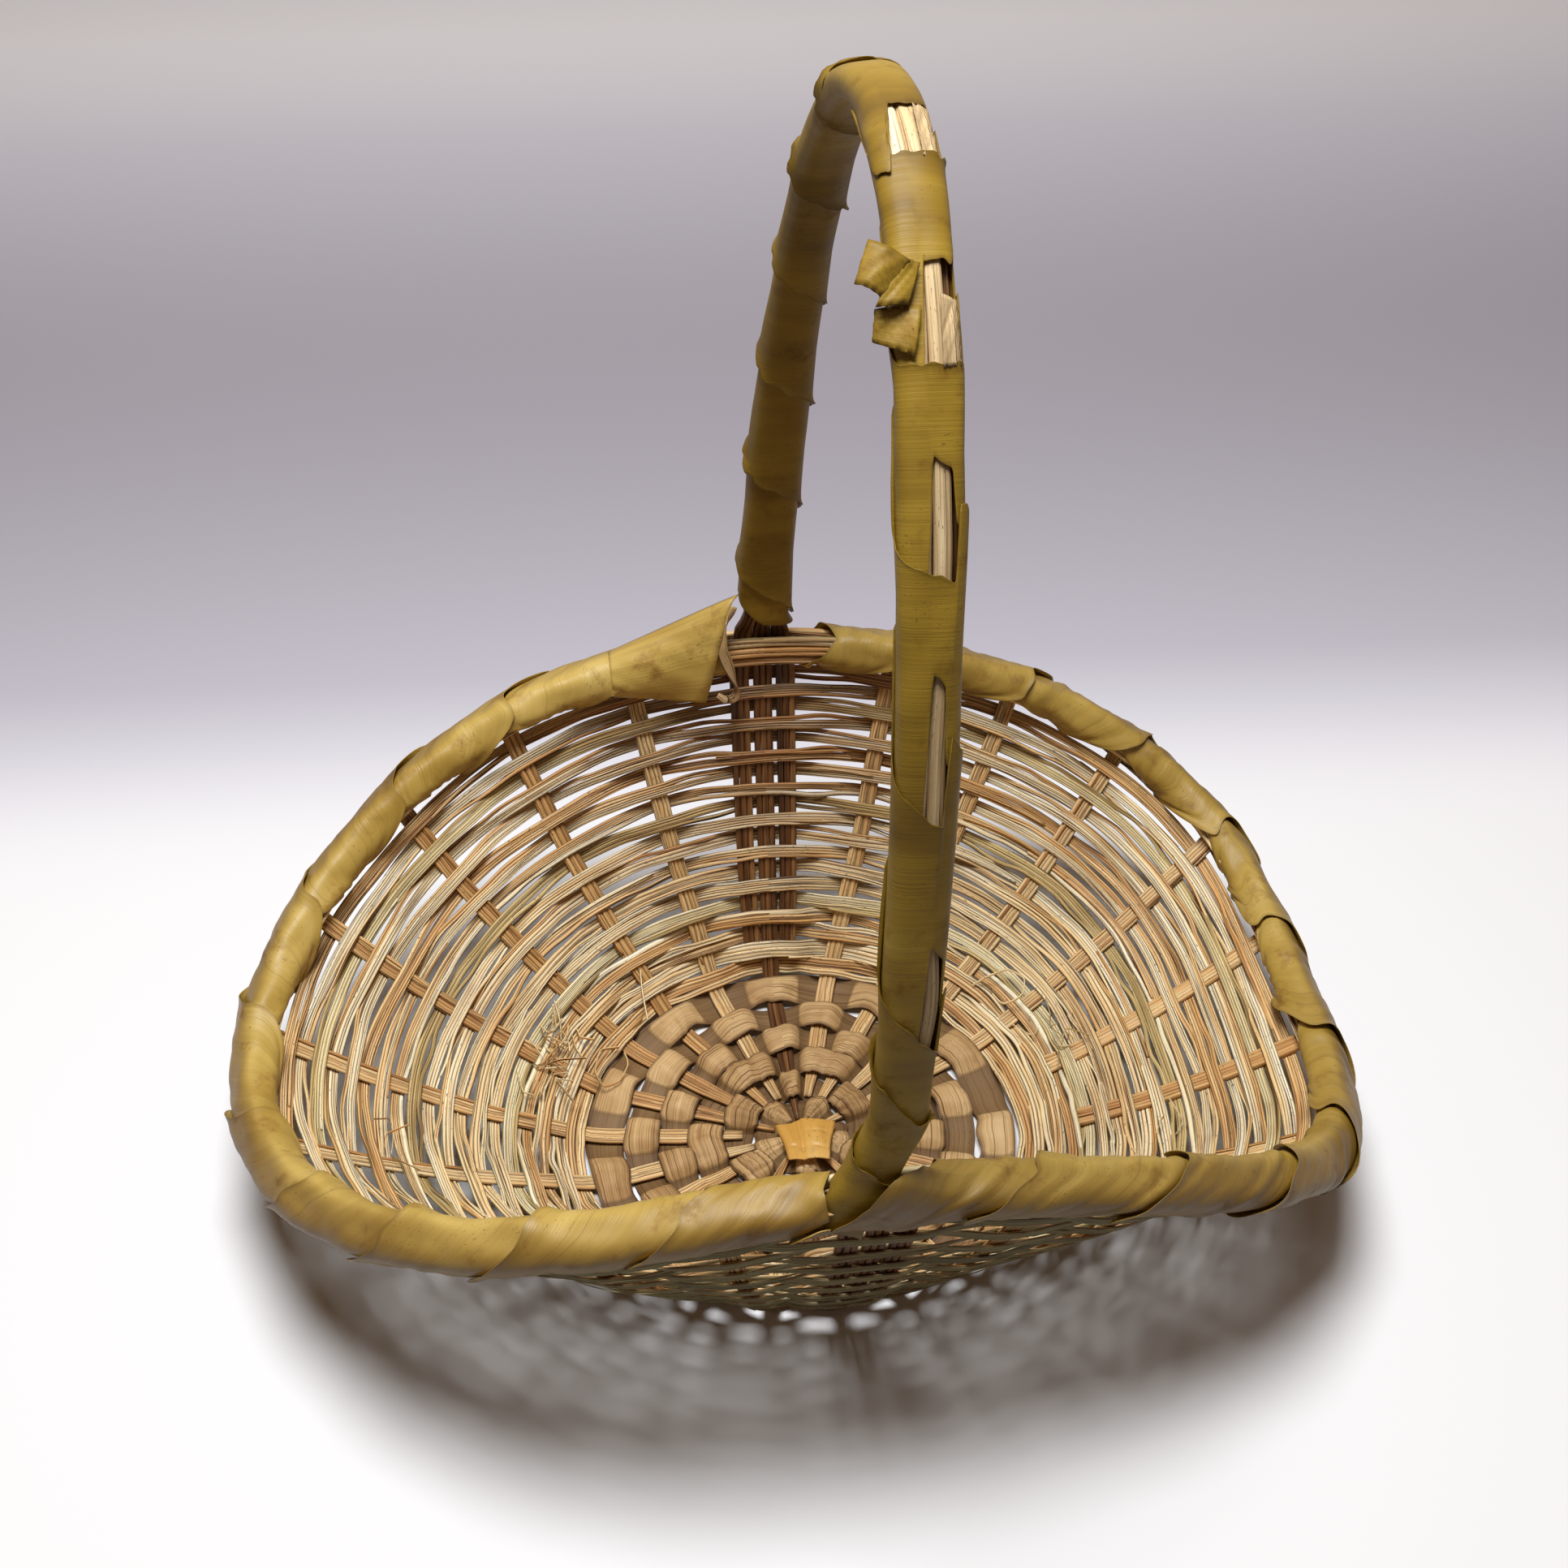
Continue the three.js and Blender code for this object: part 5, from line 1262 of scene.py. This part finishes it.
def rim_ribbon(first_station, start_at, end_at, seed):
    """A ribbon in the turns of a spiral. Its middle moves one station for each turn, from the pass
    through the wall at the bottom, up the outside, over the top and down the inside. It is as wide as a
    turn on top, drawn in where it passes the wall, and lifted where it laps over the turn before. Its
    ends are cut at the stations given for nine shares of the way round."""
    turns = np.arange(-0.95, HALF_TURN + 0.5, 1 / RIM_RIBBON_STEPS_PER_TURN)
    whole = np.floor(turns)
    share = turns - whole
    from_pass = np.minimum(share, 1 - share)
    opened = PASS_WIDTH_SHARE + (1 - PASS_WIDTH_SHARE) * smoothstep(from_pass, 0.03, 0.24)
    opened = np.where(turns < -0.5, 1.0, opened)
    beside = rim_at(first_station + turns + 0.1) - rim_at(first_station + turns - 0.1)
    spacing = np.linalg.norm(beside, axis=1) * 5
    middle = first_station + PASS_PLACE + turns + TOP_ADVANCE * np.sin(np.pi * share) ** 2
    uneven = RIM_UNEVENNESS * wave(turns / HALF_TURN, seed + 4, 20, 60)
    low = middle - opened / 2 - RIBBON_LAP * opened + uneven
    high = middle + opened / 2
    eighths = np.linspace(0, 1, 9)
    left_end = np.maximum(low, np.interp(share, eighths, start_at))
    right_end = np.minimum(high, np.interp(share, eighths, end_at))
    keep = right_end - left_end > LEAST_RIBBON
    rows = (turns, share, low, high, spacing, opened, left_end, right_end)
    turns, share, low, high, spacing, opened, left_end, right_end = (row[keep] for row in rows)
    station = left_end[:, None] + (right_end - left_end)[:, None] * ribbon_columns
    columns = (station - low[:, None]) / (high - low)[:, None]
    x = np.interp(share, bundle_shares, bundle_x)
    y = np.interp(share, bundle_shares, bundle_y)
    turn_x = np.interp(share, bundle_shares, np.gradient(bundle_x, bundle_shares))
    turn_y = np.interp(share, bundle_shares, np.gradient(bundle_y, bundle_shares))
    size = np.hypot(turn_x, turn_y)
    out_x, out_y = turn_y / size, -turn_x / size
    lap = np.clip(1 - columns / 0.5, 0, 1)
    tightness = wave(turns / HALF_TURN, seed + 1, 3, 12)
    edge_lift = (RIM_EDGE_LIFT + RIM_EDGE_LIFT * np.clip(tightness, 0, 1))[:, None] * np.exp(-columns / 0.05)
    drawn = (1 - opened)[:, None]
    folds = np.sin(2 * np.pi * (columns * RIM_FOLDS + 0.2 * tightness[:, None])) * drawn**1.5 * RIM_FOLD_DEPTH
    soft = RIM_SOFTNESS * wave(turns[:, None] / HALF_TURN + 0.035 * columns, seed + 2, 20, 60)
    pleat = RIM_PLEAT * wave(columns + 0.2 * tightness[:, None], seed + 3, 2, 7) * (1 - 0.5 * lap)
    lift = RIM_LAP_LIFT * lap - RIM_LAP_SINK * (1 - lap) + edge_lift
    lift = lift + folds + soft + pleat - PASS_SINK * drawn
    across_foot = (turns < -0.45)[:, None] * hump(station, first_station, FOOT_REACH)
    at_end = np.exp(-((first_station + HALF_TURN - station) / 0.45) ** 8)
    cut = RIM_CUT_LIFT * at_end * hump(share, RIM_CUT_SHARE, RIM_CUT_REACH)[:, None]
    lift = lift + FOOT_LIFT * across_foot + cut
    raised = FOOT_RISE * across_foot * smoothstep(share, 0.22, 0.42)[:, None]
    point, _, along, out = wall_frame(station, 1.0)
    outwards = (x[:, None] + out_x[:, None] * lift)[..., None]
    upwards = (y[:, None] + out_y[:, None] * lift + raised)[..., None]
    grid = point + out * outwards + along * upwards
    return leaf_part(grid, (right_end - left_end) * spacing, ribbon_columns, False, 0.5,
                     thickness=RIBBON_THICKNESS, crosswise=columns * spacing[:, None])


def foot_flap(first_edge, last_edge, seed):
    """The flap inside the back foot: a sheet between two smooth lines on the inner side of the rim. Its
    far half is drawn towards the last edge further down, and its middle is swollen."""
    first_line, last_line = (smooth_line(rim_places(edge), FLAP_COLUMNS) for edge in (first_edge, last_edge))
    share = np.linspace(0, 1, FLAP_ROWS)[:, None, None]
    down = np.linspace(0, 1, FLAP_COLUMNS)[None, :, None]
    grid = first_line + (last_line - first_line) * share ** (1 - FLAP_BEND * down)
    inwards = -wall_frame(np.array(first_edge[0][0]), 1.0)[3]
    ripple = FLAP_RIPPLE * wave((0.5 * share + 0.8 * down)[..., 0], seed, 2, 6)[..., None]
    rounded = FLAP_SWELL * np.sin(np.pi * share) * np.sin(np.pi * down) + FLAP_CURL * (1 - share) ** 8
    grid = grid + inwards * (rounded + ripple * np.sin(np.pi * down))
    return leaf_part(grid, FLAP_WIDTH, down[0, :, 0], False, 0.5, thickness=RIBBON_THICKNESS)


left_ribbon = rim_ribbon(0, LEFT_START, LEFT_END, 700)
bindings = {
    "left": [left_ribbon, foot_flap(FLAP_CUT_EDGE, FLAP_TURN_EDGE, 760)],
    "right": [rim_ribbon(HALF_TURN, RIGHT_START, RIGHT_END, 711)],
}
for name, parts in bindings.items():
    binding = make_piece(f"rim_binding_{name}_leaf", parts, palm_materials[name])
    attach(binding, "root")
    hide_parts(f"rim_binding_{name}")

# Handle binding: one ribbon of palm leaf wound round the grip from the back foot over the arch to the
# front foot, where it ends on the outside of the rim. On the right half of the front leg its turns
# leave openings, where the pale sticks show, and a torn scrap stands out beside the second one.
HANDLE_TURNS = 14
TURN_MARKS = [0, 1.1, 7.1, 8.1, 9.1, 10.1, 11.1, 12.1, 13.1, 14.1]
SHARE_MARKS = [0, 0.085, 0.523, 0.5985, 0.6765, 0.7715, 0.884, 0.953, 0.990, 1.03]
OPENINGS = {
    7: (0.0140, 0.445, 0.76, 1.0),
    8: (0.0190, 0.489, 0.76, 1.0),
    9: (0.0215, 0.487, 0.60, 0.5),
    10: (0.0300, 0.489, 0.57, 0.1),
    11: (0.0250, 0.550, 0.65, 0.1),
}
PLAIN_SEAM = (0.0, 0.4, 0.6, 0.0)
LIFTED_TURNS = {1: 0.0006, 2: 0.001, 3: 0.001, 5: 0.0014, 6: 0.0016, 7: 0.0008, 12: 0.0006, 13: 0.0008}
BACK_FOOT_EDGE = [0.007, 0.027, 0.015, 0.003, 0.007]
FRONT_FOOT_SHARE = 0.997
FRONT_TAIL = 0.022
FRONT_TAIL_SLANT = 0.01
FRONT_SAG = 0.14
FRONT_SAG_SHARE = 0.56
FRONT_SAG_REACH = 0.09
BACK_FOOT_WIDENING = 0.13
FRONT_FOOT_WIDENING = 0.2
LEAST_STRIP = 0.011
GRIP_CLEARANCE = 0.0014
GRIP_SQUARENESS = 2.7
HANDLE_RIBBON_COLUMNS = 31
HANDLE_RIBBON_STEPS = 84
HANDLE_LAP = 0.12
HANDLE_LAP_LIFT = 0.0006
HANDLE_LAP_SINK = 0.0003
HANDLE_EDGE_LIFT = 0.0004
HANDLE_SOFTNESS = 0.0002
RAGGED_EDGE = 0.0009
CROWN_LIFT = 0.0021
HANDLE_LEAF_COLOURS = [(80, 56, 10), (126, 98, 24), (160, 130, 42), (200, 172, 82)]

handle_leaf_material = leaf_material("palm_leaf_olive", HANDLE_LEAF_COLOURS, 0.5, (1300.0, 0.04),
                                     (300.0, 0.03), 0.6, 0.28)
seams = np.array([OPENINGS.get(number, PLAIN_SEAM) for number in range(HANDLE_TURNS + 3)])


def seam_place(number, share):
    """Where along the arch the seam before a numbered turn lies, for a share of the way round, counted in
    turns. It slants with the winding, runs level at an opening by the opening's last value, and sags on
    the outside near the front foot. The two rows of marks turn it into a share of the arch."""
    outside = smoothstep(share, 0.1, 0.4) * (1 - smoothstep(share, 0.8, 1.0))
    sag = FRONT_SAG * hump(share, FRONT_SAG_SHARE, FRONT_SAG_REACH) * (number > max(OPENINGS))
    return number + share - 0.5 + seams[number, 3] * outside * (0.6 - share) + sag


def drawn_back(number, share):
    """How far the two edges at a seam are drawn back along the arch, as shares of its length. An
    opening's first value is how far each edge goes back; its second and third are the shares of the way
    round where it starts and ends. Before it starts, the upper turn's edge stays drawn back while the
    lower turn's runs on across the place of the opening."""
    half, start, end = seams[number, :3].T
    closing = 1 - smoothstep(share, end - 0.012, end + 0.012)
    coming = smoothstep(share, 0.16, 0.24)
    opening = smoothstep(share, start - 0.024, start + 0.016)
    run_on = (half + 0.008 * (half > 0)) * coming * (1 - opening)
    return half * coming * closing, half * opening * closing - run_on


def handle_ribbon(seed):
    """A ribbon in the turns of a spiral round the grip, from its inside, up one side, over its outside
    and back, each turn lapping over the one before it and drawn back at the openings. More steps lie on
    the outside, where the openings are."""
    steps = np.arange(HANDLE_RIBBON_STEPS) / HANDLE_RIBBON_STEPS
    steps = np.interp(steps, [0, 5 / 21, 5 / 6, 1], [0, 0.4, 0.8, 1])
    turns = (np.arange(-1, HANDLE_TURNS)[:, None] + steps).ravel()
    turns = turns[turns > -0.45]
    whole = np.floor(turns).astype(int)
    share = turns - whole
    before, after = drawn_back(whole, share)[0], drawn_back(whole + 1, share)[1]
    lap = HANDLE_LAP * (1 - np.clip(before / 0.004, 0, 1))
    ragged = RAGGED_EDGE * wave(turns / HANDLE_TURNS, seed + 5, 90, 260)
    low_seam = np.interp(seam_place(whole, share) - lap, TURN_MARKS, SHARE_MARKS) + before
    high_seam = np.interp(seam_place(whole + 1, share), TURN_MARKS, SHARE_MARKS)
    low, high = low_seam + ragged, high_seam - after + ragged
    outside = smoothstep(share, 0.25, 0.34) * (1 - smoothstep(share, 0.6, 0.7))
    low = np.maximum(low, np.interp(share, np.linspace(0, 1, 5), BACK_FOOT_EDGE))
    tail = (FRONT_TAIL + FRONT_TAIL_SLANT * (share < 0.5)) * outside
    high = np.minimum(high, FRONT_FOOT_SHARE + tail)
    keep = high - low > LEAST_STRIP
    rows = (turns, share, low, high, low_seam, high_seam)
    turns, share, low, high, low_seam, high_seam = (row[keep] for row in rows)
    spread = edge_spaced(HANDLE_RIBBON_COLUMNS)
    place = low[:, None] + (high - low)[:, None] * spread
    columns = np.clip((place - low_seam[:, None]) / np.maximum(high_seam - low_seam, 0.02)[:, None], 0, 1)
    width, thickness, out_place = arch_strip(place)
    half = 1.5 * width + CLEARANCE + GRIP_CLEARANCE
    back_foot, front_foot = 1 - smoothstep(place, 0.12, 0.3), smoothstep(place, 0.985, 1.02)
    half = half * (1 + BACK_FOOT_WIDENING * back_foot + FRONT_FOOT_WIDENING * front_foot)
    inside = out_place - thickness / 2 - GRIP_CLEARANCE
    outside = out_place + thickness / 2 + CORE_STICK_DEPTH + CLEARANCE + GRIP_CLEARANCE
    unit_x, unit_y, unit_shares = closed_outline(1.0, -1.0, 1.0, GRIP_SQUARENESS)
    x = np.interp(share, unit_shares, unit_x)[:, None] * half
    y = np.interp(share, unit_shares, unit_y)[:, None] * (outside - inside) / 2
    over = np.clip(1 - columns / 0.5, 0, 1)
    loose = wave(turns / HANDLE_TURNS, seed, 10, 40)
    numbers = range(-1, HANDLE_TURNS + 1)
    lifted = np.interp(turns, numbers, [LIFTED_TURNS.get(number, 0) for number in numbers])
    edge_lift = (HANDLE_EDGE_LIFT * (1 + loose) + lifted)[:, None] * np.exp(-columns / 0.03)
    lift = HANDLE_LAP_LIFT * over - HANDLE_LAP_SINK * (1 - over) + edge_lift
    crown = smoothstep(turns, 4.2, 4.6) * (1 - smoothstep(turns, 6.7, 6.9)) * np.sin(np.pi * share) ** 2
    lift = lift + CROWN_LIFT * crown[:, None] * np.exp(-(1 - columns) / 0.05)
    lift = lift + HANDLE_SOFTNESS * wave(turns[:, None] / HANDLE_TURNS + 0.02 * columns, seed + 2, 20, 60)
    grow = 1 + lift / np.hypot(x, y)
    point, across, _, out = arch_frame(place)
    centre = (outside + inside) / 2
    grid = point + across * (x * grow)[..., None] + out * (centre + y * grow)[..., None]
    return leaf_part(grid, (high - low) * arch_length, spread, False, 0.5,
                     thickness=RIBBON_THICKNESS, crosswise=place * arch_length)


SCRAPS = [
    ([(0.5735, 14.5, 10), (0.5890, 19.0, 9), (0.5945, 12.0, 8.5), (0.5815, 4.0, 9)], 0.0022),
    ([(0.5800, 7.5, 8.5), (0.5975, 14.0, 9), (0.5965, 5.0, 7.4), (0.5815, 1.2, 7.4)], 0.001),
    ([(0.5965, 13.5, 4.5), (0.6085, 14.6, 4), (0.6150, 4.0, 7), (0.5965, 1.5, 6.5)], 0.0005),
]
scraps = [handle_scrap(corners, swell, 830 + number) for number, (corners, swell) in enumerate(SCRAPS)]
binding = make_piece("handle_binding_leaf", [handle_ribbon(800)] + scraps, handle_leaf_material)
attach(binding, "root")
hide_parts("handle_binding")

# Floor and light: a white table whose backdrop is painted grey behind the basket, a painted shade, one
# soft lamp high above it, and a faint even light from all round. Far away the table glows for the camera,
# a painted glow, with the same grey that the sky is seen as.
FLOOR_SIZE = 6.0
KEY_PLACE = Vector((-0.12, -0.02, 1.6))
KEY_SIZE = 0.7
KEY_POWER = 27.0
SKY_LIGHT = (0.094, 0.056, 0.032, 1.0)
SKY_SEEN = (0.6, 0.58, 0.63, 1.0)
BOUNCE_GREY = 0.15
BACKDROP_SLANT = 0.08
# Painted shade on the backdrop: grey behind the basket, light again far off.
BACKDROP_PAINTED_SHADE = [(0.14, (247, 248, 251)), (0.19, (246, 247, 251)), (0.235, (223, 223, 233)),
            (0.29, (191, 189, 201)), (0.45, (174, 170, 181)), (0.64, (168, 163, 173)),
            (0.85, (218, 216, 228)), (1.0, (254, 253, 255))]


def seen_directly(tree):
    """1 for rays from the camera, a reflection or a see-through piece, and 0 for those that carry light
    to the object."""
    ray = add_node(tree, "LightPath")
    seen = compute(tree, "MAXIMUM", ray.outputs["Is Camera Ray"], ray.outputs["Is Glossy Ray"])
    return compute(tree, "MAXIMUM", seen, ray.outputs["Is Transmission Ray"])


corners = [(x * FLOOR_SIZE / 2, y * FLOOR_SIZE / 2, 0) for x, y in ((-1, -1), (1, -1), (1, 1), (-1, 1))]
floor_mesh = bpy.data.meshes.new("floor")
floor_mesh.from_pydata(corners, [], [(0, 1, 2, 3)])
floor = bpy.data.objects.new("floor", floor_mesh)
bpy.context.scene.collection.objects.link(floor)
floor_material, tree, shader = new_material("table_white")
seen = seen_directly(tree)
where = object_place(tree)
place = add_node(tree, "SeparateXYZ", {0: where})
depth = compute(tree, "MULTIPLY_ADD", place.outputs["X"], BACKDROP_SLANT, place.outputs["Y"])
painted_backdrop = ramp(tree, depth, [(stop, linear(shade)) for stop, shade in BACKDROP_PAINTED_SHADE], "B_SPLINE")
distance = add_node(tree, "VectorMath", {0: where}, operation="LENGTH").outputs["Value"]
away = compute(tree, "DIVIDE", distance, FLOOR_SIZE)
fill(tree, shader, {
    "Base Color": blend_colours(tree, "MIX", seen, grey(BOUNCE_GREY), painted_backdrop),
    # Painted glow: far off, the floor glows for the camera with the grey the sky is seen as.
    "Emission Color": ramp(tree, away, [(0.22, grey(0)), (0.42, SKY_SEEN)]),
    "Emission Strength": seen,
    "Roughness": 0.9,
    "Specular IOR Level": 0.1,
})
floor_mesh.materials.append(floor_material)

key_data = bpy.data.lights.new("key_lamp", "AREA")
key_data.shape = "DISK"
key_data.size = KEY_SIZE
key_data.energy = KEY_POWER
key = bpy.data.objects.new("key_lamp", key_data)
key.location = KEY_PLACE
key.rotation_euler = (CAMERA_TARGET - KEY_PLACE).to_track_quat("-Z", "Y").to_euler()
bpy.context.scene.collection.objects.link(key)

world = bpy.data.worlds.new("even_light")
world.use_nodes = True
tree = world.node_tree
sky = blend_colours(tree, "MIX", seen_directly(tree), SKY_LIGHT, SKY_SEEN)
fill(tree, tree.nodes["Background"], {"Color": sky, "Strength": 1.0})
bpy.context.scene.world = world
bpy.context.scene.view_settings.view_transform = "Standard"
